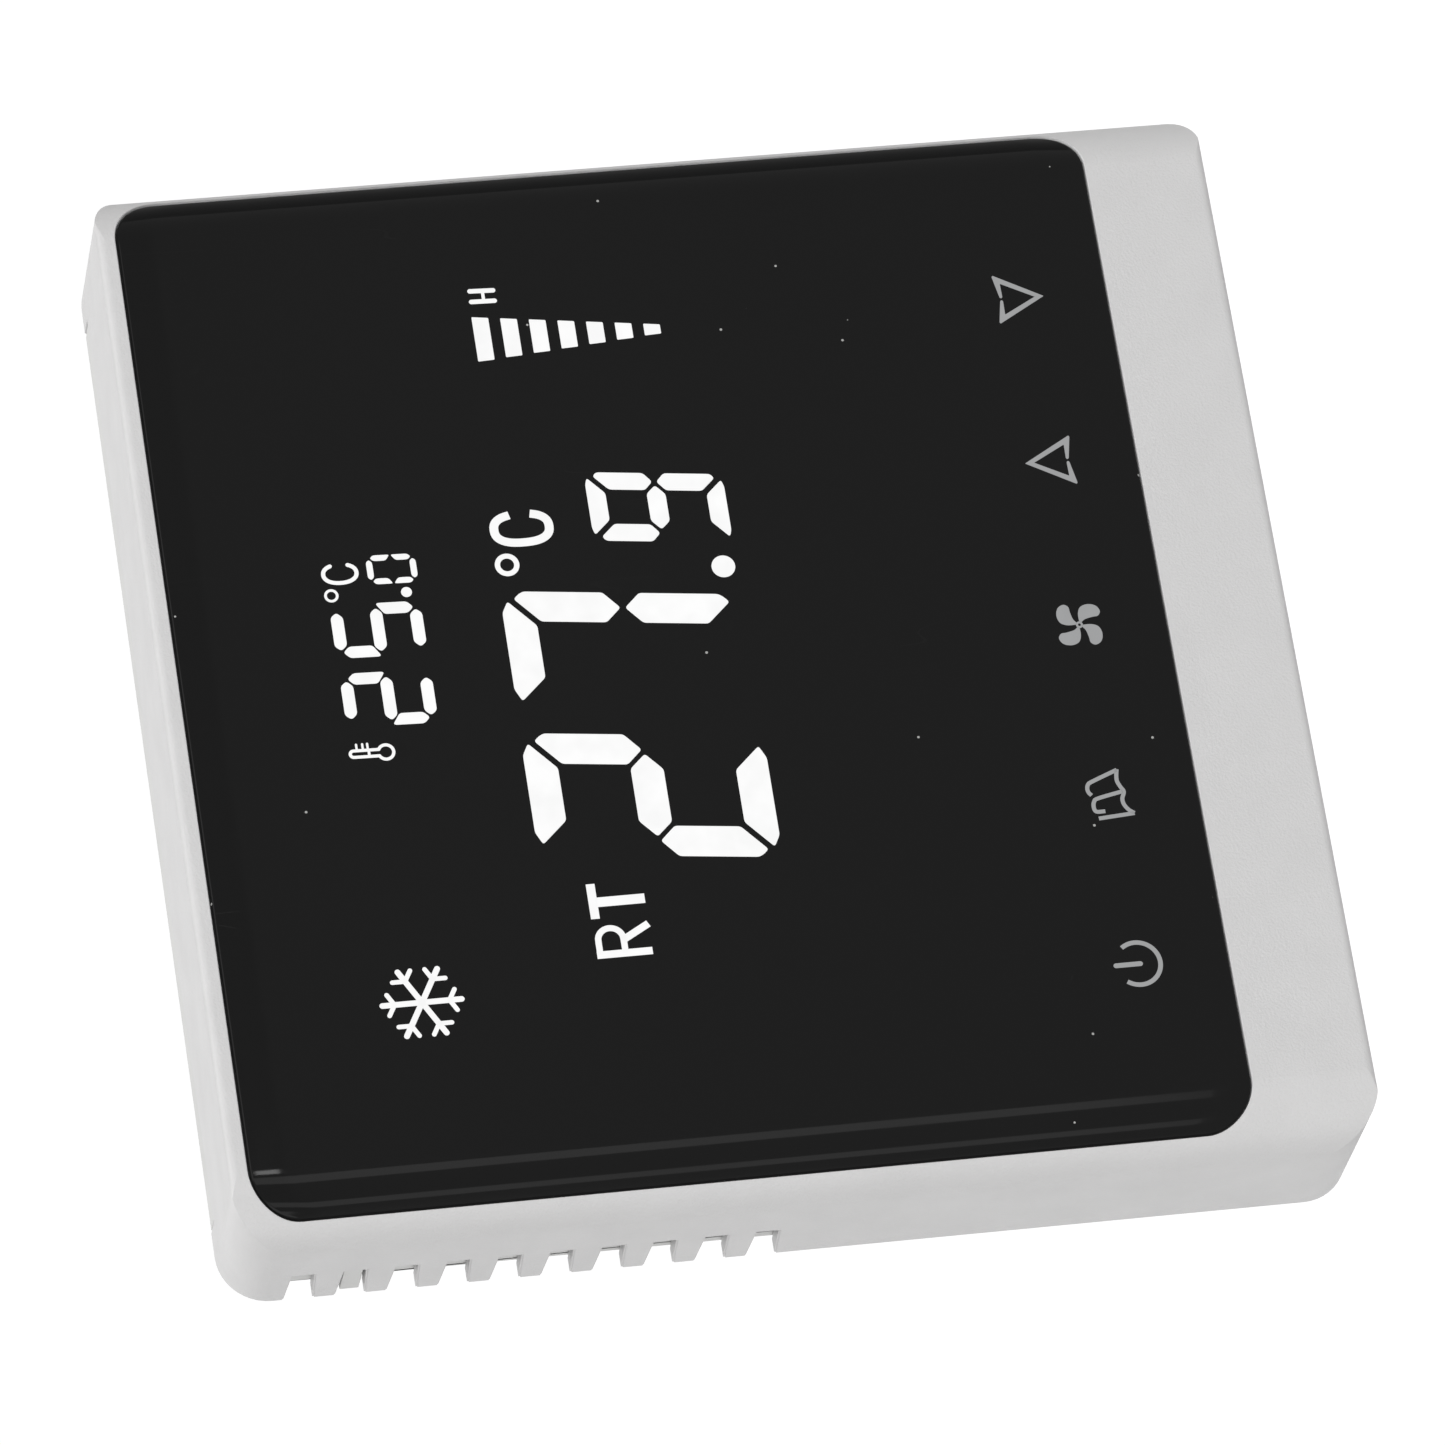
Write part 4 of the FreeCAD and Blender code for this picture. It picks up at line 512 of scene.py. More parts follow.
@dataclass(frozen=True)
class Board(Finish):
    """Printed circuit board: solder mask over copper tracks, which show as paler bands."""

    density: float = 252.0
    tracks_a_cell: float = 4.0
    paler: float = 2.1
    coat: float = 0.4
    depth: float = 0.00003

    def wire(self, nodes: Nodes, shader: bpy.types.Node, where: bpy.types.NodeSocket) -> None:
        """Tracks as bands round stepped cells, lighter than the bare mask and a little raised.

        Args:
            nodes: the material's nodes.
            shader: the Principled node.
            where: the coordinates' socket.
        """
        stepped = nodes.add("TexVoronoi", {"distance": "MANHATTAN", "feature": "F1"}, Vector=where,
                            Scale=self.density)
        spread = nodes.maths("MULTIPLY", stepped.outputs["Distance"], self.tracks_a_cell)
        track = nodes.ramp(nodes.maths("FRACT", spread), 0.42, 0.50)
        over = shaded(self.colour, self.paler)
        nodes.set(shader, "Base Color", nodes.tint(track, self.colour, over))
        shader.inputs["Coat Weight"].default_value = self.coat
        self.bump(nodes, shader, track, self.depth)


@dataclass(frozen=True)
class Laminated(Finish):
    """A stack of varnished steel sheets, with fine lines between them."""

    sheet: float = 0.0005
    gap_share: float = 0.22
    gap_shade: float = 0.3
    depth: float = 0.00006

    def wire(self, nodes: Nodes, shader: bpy.types.Node, where: bpy.types.NodeSocket) -> None:
        """Lines every sheet along Z.

        Args:
            nodes: the material's nodes.
            shader: the Principled node.
            where: the coordinates' socket.
        """
        along = nodes.add("SeparateXYZ", Vector=where)
        step = nodes.maths("FRACT", nodes.maths("MULTIPLY", along.outputs[2], 1 / self.sheet))
        gap = nodes.maths("LESS_THAN", step, self.gap_share)
        nodes.set(shader, "Base Color", nodes.tint(gap, self.colour, shaded(self.colour, self.gap_shade)))
        self.bump(nodes, shader, nodes.maths("SUBTRACT", 1.0, gap), self.depth)


@dataclass(frozen=True)
class Clear(Finish):
    """Glass or clear plastic with faint flow marks."""

    transmission: float = 0.85
    flow_density: float = 120.0
    unevenness: float = 0.06

    def wire(self, nodes: Nodes, shader: bpy.types.Node, where: bpy.types.NodeSocket) -> None:
        """Light goes through it, and its roughness varies slightly.

        Args:
            nodes: the material's nodes.
            shader: the Principled node.
            where: the coordinates' socket.
        """
        shader.inputs["Transmission Weight"].default_value = self.transmission
        flow = nodes.add("TexNoise", Vector=where, Scale=self.flow_density, Detail=2.0)
        rough = nodes.ramp(flow.outputs[0], 0.3, 0.7, self.roughness, self.roughness + self.unevenness)
        nodes.set(shader, "Roughness", rough)


FINISHES: dict[str, Finish] = {finish.name: finish for finish in (
    Moulded("white_plastic", (0.655, 0.65, 0.65), 0.42, density=5200.0, depth=0.000035, mottle=0.03),
    Moulded("base_plastic", (0.66, 0.66, 0.65), 0.48, density=4200.0, depth=0.000014, mottle=0.04),
    Gloss("black_lens", (0.006, 0.006, 0.006), 0.05),
    Moulded("tape", (0.02, 0.02, 0.02), 0.8, density=3000.0, depth=0.00002, mottle=0.2),
    Clear("display_glass", (0.05, 0.05, 0.055), 0.04),
    Moulded("white_frame", (0.78, 0.79, 0.79), 0.45, density=4200.0, depth=0.00001, mottle=0.03),
    Moulded("lamp", (0.80, 0.70, 0.30), 0.25, density=2500.0, depth=0.000004, mottle=0.1),
    Moulded("contact_rubber", (0.30, 0.31, 0.33), 0.75, density=5000.0, depth=0.00002, mottle=0.15),
    Board("green_board", (0.012, 0.11, 0.045), 0.35),
    Moulded("black_case", (0.018, 0.018, 0.019), 0.5, density=5000.0, depth=0.000014, mottle=0.25),
    Moulded("relay_case", (0.02, 0.10, 0.30), 0.38, density=4200.0, depth=0.00001, mottle=0.12),
    Metal("steel_screw", (0.56, 0.56, 0.55), 0.32),
    Metal("spring_steel", (0.70, 0.70, 0.68), 0.2),
    Metal("clamp_steel", (0.52, 0.52, 0.50), 0.35, streak=(1.0, 1.0, 0.05)),
    Metal("contact_brass", (0.78, 0.57, 0.24), 0.28, streak=(1.0, 1.0, 0.05)),
    Moulded("sensor_epoxy", (0.02, 0.02, 0.02), 0.25, density=900.0, depth=0.00003, mottle=0.2),
    Laminated("core_steel", (0.16, 0.15, 0.14), 0.45),
    Moulded("yellow_case", (0.72, 0.48, 0.05), 0.35, density=4200.0, depth=0.00001, mottle=0.08),
    Moulded("blue_disc", (0.03, 0.12, 0.42), 0.3, density=1200.0, depth=0.00003, mottle=0.12),
    Moulded("terminal_case", (0.03, 0.22, 0.09), 0.45, density=4200.0, depth=0.000012, mottle=0.1),
    Lit("lit_segment", (0.97, 0.97, 0.97), 0.5, power=0.94),
    Lit("lit_symbol", (0.37, 0.375, 0.38), 0.5, power=0.80),
    Moulded("chip_ceramic", (0.42, 0.30, 0.18), 0.5, density=5000.0, depth=0.00001, mottle=0.2),
    Metal("solder", (0.62, 0.62, 0.60), 0.25, streak=(1.0, 1.0, 1.0), density=900.0),
)}


# --------------------------------------------------------------------------------------------
# Mesh tools
# --------------------------------------------------------------------------------------------
@dataclass
class Shape:
    """Points and faces that can be joined and made a mesh."""

    points: np.ndarray
    faces: list[tuple[int, ...]]

    def __add__(self, other: "Shape") -> "Shape":
        """Join two shapes into one.

        Args:
            other: the shape to add.

        Returns:
            A new shape that holds both.
        """
        shift = len(self.points)
        moved = [tuple(index + shift for index in face) for face in other.faces]
        return Shape(np.vstack([self.points, other.points]), self.faces + moved)


def joined(shapes: Sequence[Shape]) -> Shape:
    """Join several shapes.

    Args:
        shapes: the shapes, at least one.

    Returns:
        One shape that holds them all.
    """
    total = shapes[0]
    for shape in shapes[1:]:
        total = total + shape
    return total


def grid(points: np.ndarray, close_across: bool = False, flip: bool = False) -> Shape:
    """A surface of quads over a grid of points: rows along the first axis, columns across.

    Args:
        points: array of rows x columns x 3.
        close_across: whether the last column joins the first.
        flip: whether the faces turn the other way.

    Returns:
        The surface.
    """
    rows, columns = points.shape[:2]
    down = np.arange(rows - 1)[:, None]
    across = np.arange(columns if close_across else columns - 1)[None, :]
    nxt = (across + 1) % columns
    corners = [down * columns + across, down * columns + nxt, (down + 1) * columns + nxt,
               (down + 1) * columns + across]
    quads = np.stack([corner.ravel() for corner in corners], axis=1)
    if flip:
        quads = quads[:, ::-1]
    return Shape(points.reshape(-1, 3), [tuple(int(index) for index in quad) for quad in quads])


def prism(outline: np.ndarray, front: float, back: float) -> Shape:
    """A flat plate: an outline in X and Z, given anticlockwise seen from the front, drawn along Y.

    Args:
        outline: points x 2.
        front: Y of the front face.
        back: Y of the back face.

    Returns:
        The closed plate.
    """
    count = len(outline)
    points = np.vstack([np.column_stack([outline[:, 0], np.full(count, level), outline[:, 1]])
                        for level in (front, back)])
    index = range(count)
    sides = [(i, i + count, (i + 1) % count + count, (i + 1) % count) for i in index]
    return Shape(points, [tuple(index), tuple(range(2 * count - 1, count - 1, -1)), *sides])


def ribbon(path: np.ndarray, width: float, front: float, back: float, closed: bool = False,
           rounded: bool = False) -> Shape:
    """A stroke: a rectangle of a given width carried along a path in X and Z.

    Each point's sides stand off along the mitre: the sum of the two neighbouring normals over
    one plus their product, which is kept from growing too long at a sharp turn. Round ends are
    more sections past the ends: the sine of an angle gives the reach, its cosine the width.

    Args:
        path: points x 2.
        width: the stroke's width.
        front: Y of the front face.
        back: Y of the back face.
        closed: whether the path joins up.
        rounded: whether the ends are half circles.

    Returns:
        The closed stroke.
    """
    shortest_spread, end_angles = 0.35, (25.0, 50.0, 70.0, 84.0)
    widths = np.full(len(path), width)
    if rounded and not closed:
        angles = np.radians(end_angles)
        reach, narrow = np.sin(angles) * width / 2, np.cos(angles) * width
        first = (path[0] - path[1]) / np.linalg.norm(path[0] - path[1])
        last = (path[-1] - path[-2]) / np.linalg.norm(path[-1] - path[-2])
        path = np.vstack([path[0] + reach[::-1, None] * first, path, path[-1] + reach[:, None] * last])
        widths = np.concatenate([narrow[::-1], widths, narrow])
    after = np.roll(path, -1, axis=0) - path
    if not closed:
        after[-1] = after[-2]
    after /= np.linalg.norm(after, axis=1)[:, None]
    before = np.roll(after, 1, axis=0)
    if not closed:
        before[0] = after[0]
    side_after = np.column_stack([-after[:, 1], after[:, 0]])
    side_before = np.column_stack([-before[:, 1], before[:, 0]])
    spread = 1 + np.sum(side_after * side_before, axis=1)
    mitre = (side_after + side_before) / np.maximum(spread, shortest_spread)[:, None]
    left, right = path + mitre * widths[:, None] / 2, path - mitre * widths[:, None] / 2
    rings = np.stack([np.column_stack([side[:, 0], np.full(len(path), level), side[:, 1]])
                      for side, level in ((left, front), (right, front), (right, back), (left, back))],
                     axis=1)
    if closed:
        rings = np.concatenate([rings, rings[:1]])
    body = grid(rings, close_across=True, flip=True)
    if not closed:
        end = 4 * (len(rings) - 1)
        body.faces += [(0, 1, 2, 3), (end + 3, end + 2, end + 1, end)]
    return body


def circle(centre: tuple[float, float], radius: float, count: int = 40) -> np.ndarray:
    """Points round a circle, anticlockwise: centre plus radius times cosine and sine."""
    turn = np.arange(count) * 2 * math.pi / count
    return np.column_stack([centre[0] + radius * np.cos(turn), centre[1] + radius * np.sin(turn)])


def bow(centre: tuple[float, float], radii: tuple[float, float], start: float, end: float,
        count: int = 24, squareness: float = 2.0) -> np.ndarray:
    """Points along part of a superellipse: each radius times the cosine or sine to 2/squareness.

    Args:
        centre: the middle in X and Z.
        radii: half sizes in X and Z.
        start: first angle in degrees.
        end: last angle in degrees.
        count: how many points.
        squareness: 2 for an ellipse, more for squarer shoulders.

    Returns:
        points x 2.
    """
    turn = np.radians(np.linspace(start, end, count))
    power = 2 / squareness
    across = np.sign(np.cos(turn)) * np.abs(np.cos(turn)) ** power
    up = np.sign(np.sin(turn)) * np.abs(np.sin(turn)) ** power
    return np.column_stack([centre[0] + radii[0] * across, centre[1] + radii[1] * up])


def smooth_path(points: Sequence[tuple[float, float]], closed: bool = False,
                steps: int = 6) -> np.ndarray:
    """A smooth path through points: a cubic between each pair, with slopes from its neighbours.

    Args:
        points: the points to pass through.
        closed: whether the path joins up.
        steps: points on each stretch.

    Returns:
        points x 2.
    """
    given = np.array(points, float)
    if closed:
        padded = np.vstack([given[-1:], given, given[:2]])
    else:
        padded = np.vstack([2 * given[:1] - given[1:2], given, 2 * given[-1:] - given[-2:-1]])
    share = np.arange(steps)[None, :, None] / steps
    p0, p1, p2, p3 = (padded[i:len(padded) - 3 + i, None, :] for i in range(4))
    cubic = 0.5 * (2 * p1 + (p2 - p0) * share + (2 * p0 - 5 * p1 + 4 * p2 - p3) * share ** 2
                   + (3 * p1 - p0 - 3 * p2 + p3) * share ** 3)
    flat = cubic.reshape(-1, 2)
    return flat if closed else np.vstack([flat, given[-1:]])


def softened(outline: np.ndarray, radius: float) -> np.ndarray:
    """Round an outline's corners: each becomes a parabola that starts a radius before it.

    On a short side the parabola starts nearer, so that the two on one side never meet.

    Args:
        outline: points x 2.
        radius: the distance from the corner at which the rounding starts.

    Returns:
        points x 2, four for each corner.
    """
    most_of_side, shares = 0.35, (0, 1 / 3, 2 / 3, 1)
    before, after = np.roll(outline, 1, axis=0) - outline, np.roll(outline, -1, axis=0) - outline
    reach_before = np.minimum(radius / np.linalg.norm(before, axis=1), most_of_side)[:, None]
    reach_after = np.minimum(radius / np.linalg.norm(after, axis=1), most_of_side)[:, None]
    start, end = outline + before * reach_before, outline + after * reach_after
    steps = [start * (1 - t) ** 2 + outline * 2 * t * (1 - t) + end * t ** 2 for t in shares]
    return np.stack(steps, axis=1).reshape(-1, 2)


def linked(name: str, data: bpy.types.ID) -> bpy.types.Object:
    """Make an object and put it in the scene.

    Args:
        name: the object's name.
        data: its mesh, camera or light.

    Returns:
        The object.
    """
    made = bpy.data.objects.new(name, data)
    bpy.context.scene.collection.objects.link(made)
    return made


def place(name: str, shape: Shape, finish: str, body: Body,
          sharp_deg: float = 35.0) -> bpy.types.Object:
    """Make a piece from a shape and let it ride on a body.

    Args:
        name: the piece's name.
        shape: its points and faces.
        finish: the name of its finish.
        body: the body it rides on.
        sharp_deg: edges sharper than this angle stay sharp.

    Returns:
        The piece.
    """
    mesh = bpy.data.meshes.new(name)
    mesh.from_pydata(shape.points.tolist(), [], shape.faces)
    mesh.materials.append(FINISHES[finish].material())
    mesh.shade_smooth()
    mesh.set_sharp_from_angle(angle=math.radians(sharp_deg))
    mesh.validate()
    piece = linked(name, mesh)
    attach(piece, body.value)
    log.info("%s: %d faces", name, len(mesh.polygons))
    return piece


# --------------------------------------------------------------------------------------------
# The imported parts, dressed
# --------------------------------------------------------------------------------------------
def read(items: bpy.types.bpy_prop_collection, name: str, kind: type, width: int = 1) -> np.ndarray:
    """Read one attribute of all items of a mesh as an array.

    Args:
        items: the mesh's vertices, corners or faces.
        name: the attribute.
        kind: numpy's type of its numbers.
        width: how many numbers each item has.

    Returns:
        One row for each item, or a flat array if the width is 1.
    """
    values = np.empty(len(items) * width, kind)
    items.foreach_get(name, values)
    return values if width == 1 else values.reshape(-1, width)


def rounded_level(first: np.ndarray, second: np.ndarray, radius: float) -> tuple[np.ndarray, ...]:
    """How far points lie outside a rounded corner, and which way is out.

    With both distances past the corner's centre, the level is their length less the radius and
    out is along them; otherwise it is the larger one less the radius, and out is along that one.

    Args:
        first: distance past the corner's centre along the first axis.
        second: distance past it along the second axis.
        radius: the corner's radius.

    Returns:
        The level, and the two parts of the outward direction.
    """
    both = (first > 0) & (second > 0)
    length = np.maximum(np.hypot(first, second), 1e-12)
    level = np.where(both, length, np.maximum(first, second)) - radius
    along_first = np.where(both, first / length, (first >= second).astype(float))
    along_second = np.where(both, second / length, (second > first).astype(float))
    return level, along_first, along_second


@dataclass
class HousingSkin:
    """The front housing's outside: where three rounded outlines, one for each axis, overlap.

    Its normals are worked out from those outlines, and blend where two of them meet, except on
    faces that lie along the front's or the sides' outline, over which a blend would reach too far.
    blend is how far within the outermost outline another still counts, near how far within the
    outside a point still lies on it, and facing and alike are cosines between face and normal.
    """

    side_round: float = 5.0 * MM
    corner_round: float = 3.8 * MM
    face_edge_round: float = 0.7 * MM
    blend: float = 0.5 * MM
    near: float = 0.03 * MM
    facing: float = 0.6
    alike: float = 0.995

    def __post_init__(self) -> None:
        """Take the housing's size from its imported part."""
        low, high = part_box("front_housing")
        self.half, self.tall, self.face = high.x, high.z, -low.y

    def normals(self, points: np.ndarray) -> tuple[np.ndarray, np.ndarray, np.ndarray]:
        """Level and outward normal of the outside at each point.

        Args:
            points: points x 3.

        Returns:
            The levels, 0 on the outside and less within, the blended normals, and the normals of
            the two outlines that make the face.
        """
        across, depth, up = points.T
        sign_x, sign_z = np.sign(across), np.sign(up)
        side, high, out = np.abs(across) - self.half, np.abs(up) - self.tall, -depth - self.face
        level_s, s_x, s_y = rounded_level(side + self.side_round, out + self.side_round, self.side_round)
        level_c, c_x, c_z = rounded_level(side + self.corner_round, high + self.corner_round,
                                          self.corner_round)
        level_e, e_y, e_z = rounded_level(out + self.face_edge_round, high + self.face_edge_round,
                                          self.face_edge_round)
        levels = np.stack([level_s, level_c, level_e])
        none = np.zeros(len(points))
        ways = np.stack([np.column_stack([s_x * sign_x, -s_y, none]),
                         np.column_stack([c_x * sign_x, none, c_z * sign_z]),
                         np.column_stack([none, -e_y, e_z * sign_z])])
        top = levels.max(axis=0)
        weight = np.clip(1 + (levels - top) / self.blend, 0, 1) ** 2
        normal = np.sum(weight[:, :, None] * ways, axis=0)
        return top, normal / np.linalg.norm(normal, axis=1)[:, None], ways[[0, 2]]

    def apply(self, mesh: bpy.types.Mesh) -> None:
        """Set the worked out normals on the faces that lie on the outside.

        A face counts when all its corners lie near the outside and it faces the way out there.
        One that is nearly square to a single outline's normal takes that one, unblended.

        Args:
            mesh: the housing's mesh.
        """
        normals = read(mesh.corner_normals, "vector", np.float32, 3)
        vertex = read(mesh.loops, "vertex_index", np.int32)
        points = read(mesh.vertices, "co", np.float32, 3).astype(float)
        starts, totals = (read(mesh.polygons, name, np.int32) for name in ("loop_start", "loop_total"))
        levels, outward, singles = self.normals(points)
        owner, first = np.repeat(np.arange(len(totals)), totals), np.cumsum(totals) - totals
        loops = starts[owner] + np.arange(len(vertex)) - first[owner]
        corner = vertex[loops]
        flat = read(mesh.polygons, "normal", np.float32, 3)[owner]
        lowest = np.minimum.reduceat(levels[corner], first)[owner]
        chosen = (lowest > -self.near) & (np.sum(outward[corner] * flat, axis=1) > self.facing)
        normals[loops[chosen]] = outward[corner[chosen]]
        pair = singles[:, corner]
        match = np.sum(pair * flat, axis=2)
        single = np.where((match[0] > match[1])[:, None], pair[0], pair[1])
        alone = chosen & (match.max(axis=0) > self.alike)
        normals[loops[alone]] = single[alone]
        mesh.normals_split_custom_set(normals.tolist())


@dataclass
class PackedParts:
    """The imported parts: each keeps its shape, with its facets smoothed and its finish put on.

    The edge fields are the widths of rounded edges. The housing's cut edges are those of at least
    cut_deg where its outside ends, and the ones in front of recess_depth are the lens recess's.
    Slices near its corners keep the blended normals from spreading over long facets.
    """

    sharp_deg: float = 32.0
    flat_deg: float = 0.05
    merge: float = 0.001 * MM
    edge: dict[str, float] = field(default_factory=lambda: {
        "rear_base": 0.12 * MM, "power_cover": 0.10 * MM, "terminal_block": 0.08 * MM,
        "board_socket": 0.08 * MM,
    })
    edge_segments: int = 2
    area_weight: int = 80
    cut_deg: float = 50.0
    housing_edge: float = 0.13 * MM
    recess_edge: float = 0.05 * MM
    recess_depth: float = 9.2 * MM
    housing_cuts: tuple[float, ...] = (30.0 * MM, 36.5 * MM, 38.5 * MM)
    cut_merge: float = 0.0005 * MM

    def build(self, made_elsewhere: Sequence[str]) -> None:
        """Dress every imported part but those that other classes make.

        Args:
            made_elsewhere: nodes that get a piece of their own.
        """
        slots = {part["node"]: part["material_slot"] for part in frame["record"]["subparts"]}
        for node, packed in frame["nodes"].items():
            slot = slots[node]
            packed.data.materials.clear()
            packed.data.materials.append(FINISHES[slot].material())
            if node not in made_elsewhere:
                self.smooth_copy(node, packed)

    def housing_edges(self, work: bmesh.types.BMesh, skin: HousingSkin) -> None:
        """Soften the edges where the housing's outside is cut, and add points near its corners.

        Args:
            work: the housing's mesh.
            skin: the housing's outside.
        """
        points = np.array([vertex.co for vertex in work.verts])
        levels, *_ = skin.normals(points)
        for index, vertex in enumerate(work.verts):
            vertex.index = index
        on_skin = {face: all(levels[vertex.index] > -skin.near for vertex in face.verts)
                   for face in work.faces}
        cut = [edge for edge in work.edges if len(edge.link_faces) == 2
               and on_skin[edge.link_faces[0]] != on_skin[edge.link_faces[1]]
               and edge.calc_face_angle(0.0) > math.radians(self.cut_deg)]
        front = [edge for edge in cut if edge.verts[0].co.y < -self.recess_depth]
        rear = [edge for edge in cut if edge.verts[0].co.y >= -self.recess_depth]
        for edges, width in ((front, self.recess_edge), (rear, self.housing_edge)):
            bmesh.ops.bevel(work, geom=edges, offset=width, segments=self.edge_segments, affect="EDGES",
                            clamp_overlap=True)
        for axis in (0, 2):
            for distance in self.housing_cuts:
                for side in (-1, 1):
                    spot, normal = [0.0, 0.0, 0.0], [0.0, 0.0, 0.0]
                    spot[axis], normal[axis] = side * distance, 1.0
                    bmesh.ops.bisect_plane(work, geom=[*work.verts, *work.edges, *work.faces],
                                           plane_co=spot, plane_no=normal, dist=self.cut_merge)

    def smooth_copy(self, node: str, packed: bpy.types.Object) -> None:
        """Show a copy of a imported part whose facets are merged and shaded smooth.

        Args:
            node: the part's name.
            packed: its object.
        """
        mesh = packed.data.copy()
        mesh.name = f"{node}_skin"
        work = bmesh.new()
        work.from_mesh(mesh)
        bmesh.ops.remove_doubles(work, verts=work.verts, dist=self.merge)
        bmesh.ops.dissolve_limit(work, angle_limit=math.radians(self.flat_deg), verts=work.verts,
                                 edges=work.edges)
        skin = HousingSkin() if node == "front_housing" else None
        if skin:
            self.housing_edges(work, skin)
        work.to_mesh(mesh)
        work.free()
        mesh.shade_smooth()
        mesh.set_sharp_from_angle(angle=math.radians(self.sharp_deg))
        if skin:
            skin.apply(mesh)
        copy = linked(f"{node}_skin", mesh)
        if node in self.edge:
            bevel = copy.modifiers.new("edges", "BEVEL")
            bevel.width = self.edge[node]
            bevel.segments = self.edge_segments
            bevel.limit_method = "ANGLE"
            bevel.angle_limit = math.radians(self.sharp_deg)
            bevel.harden_normals = False
            bevel.use_clamp_overlap = True
        if not skin:
            weights = copy.modifiers.new("weights", "WEIGHTED_NORMAL")
            weights.keep_sharp = True
            weights.weight = self.area_weight
        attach(copy, packed["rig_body"])
        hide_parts(node)
        log.info("%s: %d faces", copy.name, len(mesh.polygons))


# --------------------------------------------------------------------------------------------
# Touch lens
# --------------------------------------------------------------------------------------------
@dataclass
class TouchLens:
    """The black lens: flat in the middle and rounded over at both sides with the housing.

    Its front and back are functions of X and Z: the depth is flat up to the start of the side
    rounding and then follows a circle. The outline is a rounded rectangle. settle places two more
    columns just inside the corners, which keep the flat part's shading even.
    """

    corner: float = 3.6 * MM
    side_round: float = 5.0 * MM
    edge: float = 0.22 * MM
    thick: float = 1.2 * MM
    corner_columns: int = 24
    flat_columns: int = 14
    settle: tuple[float, ...] = (0.1 * MM, 0.4 * MM)
    rows: int = 28
    edge_rings: int = 5
    merge: float = 0.0001 * MM
    sharp_deg: float = 50.0

    def __post_init__(self) -> None:
        """Take the lens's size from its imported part."""
        low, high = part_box("touch_lens")
        self.half, self.low, self.high = high.x, low.z, high.z
        self.front = low.y
        housing_low, housing_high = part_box("front_housing")
        self.bend = housing_high.x - self.side_round
        self.axis = housing_low.y + self.side_round

    def depth(self, across: np.ndarray, inward: float) -> np.ndarray:
        """Y of a surface that lies inward from the front: flat, then a circle round the side's axis.

        Args:
            across: X values.
            inward: how far behind the front, square to it.

        Returns:
            Y values.
        """
        beyond = np.maximum(np.abs(across) - self.bend, 0.0)
        radius = self.axis - self.front - inward
        return self.axis - np.sqrt(np.maximum(radius ** 2 - beyond ** 2, 0.0))

    def columns(self, inset: float) -> np.ndarray:
        """X of the grid's columns: close in the rounded corners, where they follow equal angles.

        Args:
            inset: how far the outline lies inside the lens's edge.

        Returns:
            X values from left to right.
        """
        corner = self.corner - inset
        middle = self.half - self.corner
        turn = np.linspace(math.pi / 2, 0, self.corner_columns, endpoint=False)
        left = -middle - corner * np.sin(turn)
        flat = np.linspace(-middle, middle, self.flat_columns)
        inner = [middle - step for step in self.settle]
        flat = np.sort(np.concatenate([flat, inner, np.negative(inner)]))
        return np.concatenate([left, flat, -left[::-1]])

    def sheet(self, inset: float, inward: float) -> np.ndarray:
        """Points of one side: columns in X by rows in Z, the rows running between the outline's ends.

        Args:
            inset: how far the outline lies inside the lens's edge.
            inward: how far the surface lies behind the front.

        Returns:
            columns x rows x 3.
        """
        across = self.columns(inset)
        corner = self.corner - inset
        beyond = np.clip(np.abs(across) - (self.half - self.corner), 0.0, corner)
        drop = corner - np.sqrt(np.maximum(corner ** 2 - beyond ** 2, 0.0))
        top, bottom = self.high - inset - drop, self.low + inset + drop
        share = np.linspace(0.0, 1.0, self.rows)
        up = bottom[:, None] + (top - bottom)[:, None] * share
        wide = np.repeat(across[:, None], self.rows, axis=1)
        return np.stack([wide, self.depth(wide, inward), up], axis=2)

    @staticmethod
    def rim(sheet: np.ndarray) -> np.ndarray:
        """The points round a sheet's edge, anticlockwise seen from the front."""
        return np.concatenate([sheet[:-1, 0], sheet[-1, :-1], sheet[:0:-1, -1], sheet[0, :0:-1]])

    def build(self) -> None:
        """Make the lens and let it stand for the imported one."""
        front = self.sheet(self.edge, 0.0)
        turn = np.linspace(0, math.pi / 2, self.edge_rings)
        steps = [(self.edge * (1 - math.sin(angle)), self.edge * (1 - math.cos(angle))) for angle in turn]
        rings = [self.rim(self.sheet(inset, inward)) for inset, inward in steps]
        back = self.sheet(0.0, self.thick)
        rings.append(self.rim(back))
        sides = grid(np.array(rings), close_across=True, flip=True)
        shape = joined([grid(front, flip=True), sides, grid(back)])
        work = bmesh.new()
        mesh = bpy.data.meshes.new("lens_merge")
        mesh.from_pydata(shape.points.tolist(), [], shape.faces)
        work.from_mesh(mesh)
        bmesh.ops.remove_doubles(work, verts=work.verts, dist=self.merge)
        bmesh.ops.recalc_face_normals(work, faces=work.faces)
        points = np.array([vertex.co for vertex in work.verts])
        faces = [tuple(vertex.index for vertex in face.verts) for face in work.faces]
        work.free()
        bpy.data.meshes.remove(mesh)
        piece = place("touch_lens_skin", Shape(points, faces), "black_lens", Body.FRONT,
                      self.sharp_deg)
        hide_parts("touch_lens")


# --------------------------------------------------------------------------------------------
# What shows in the lens
# --------------------------------------------------------------------------------------------
class Ends(Enum):
    """How a digit's segments end."""

    MITRED = "mitred"
    POINTED = "pointed"


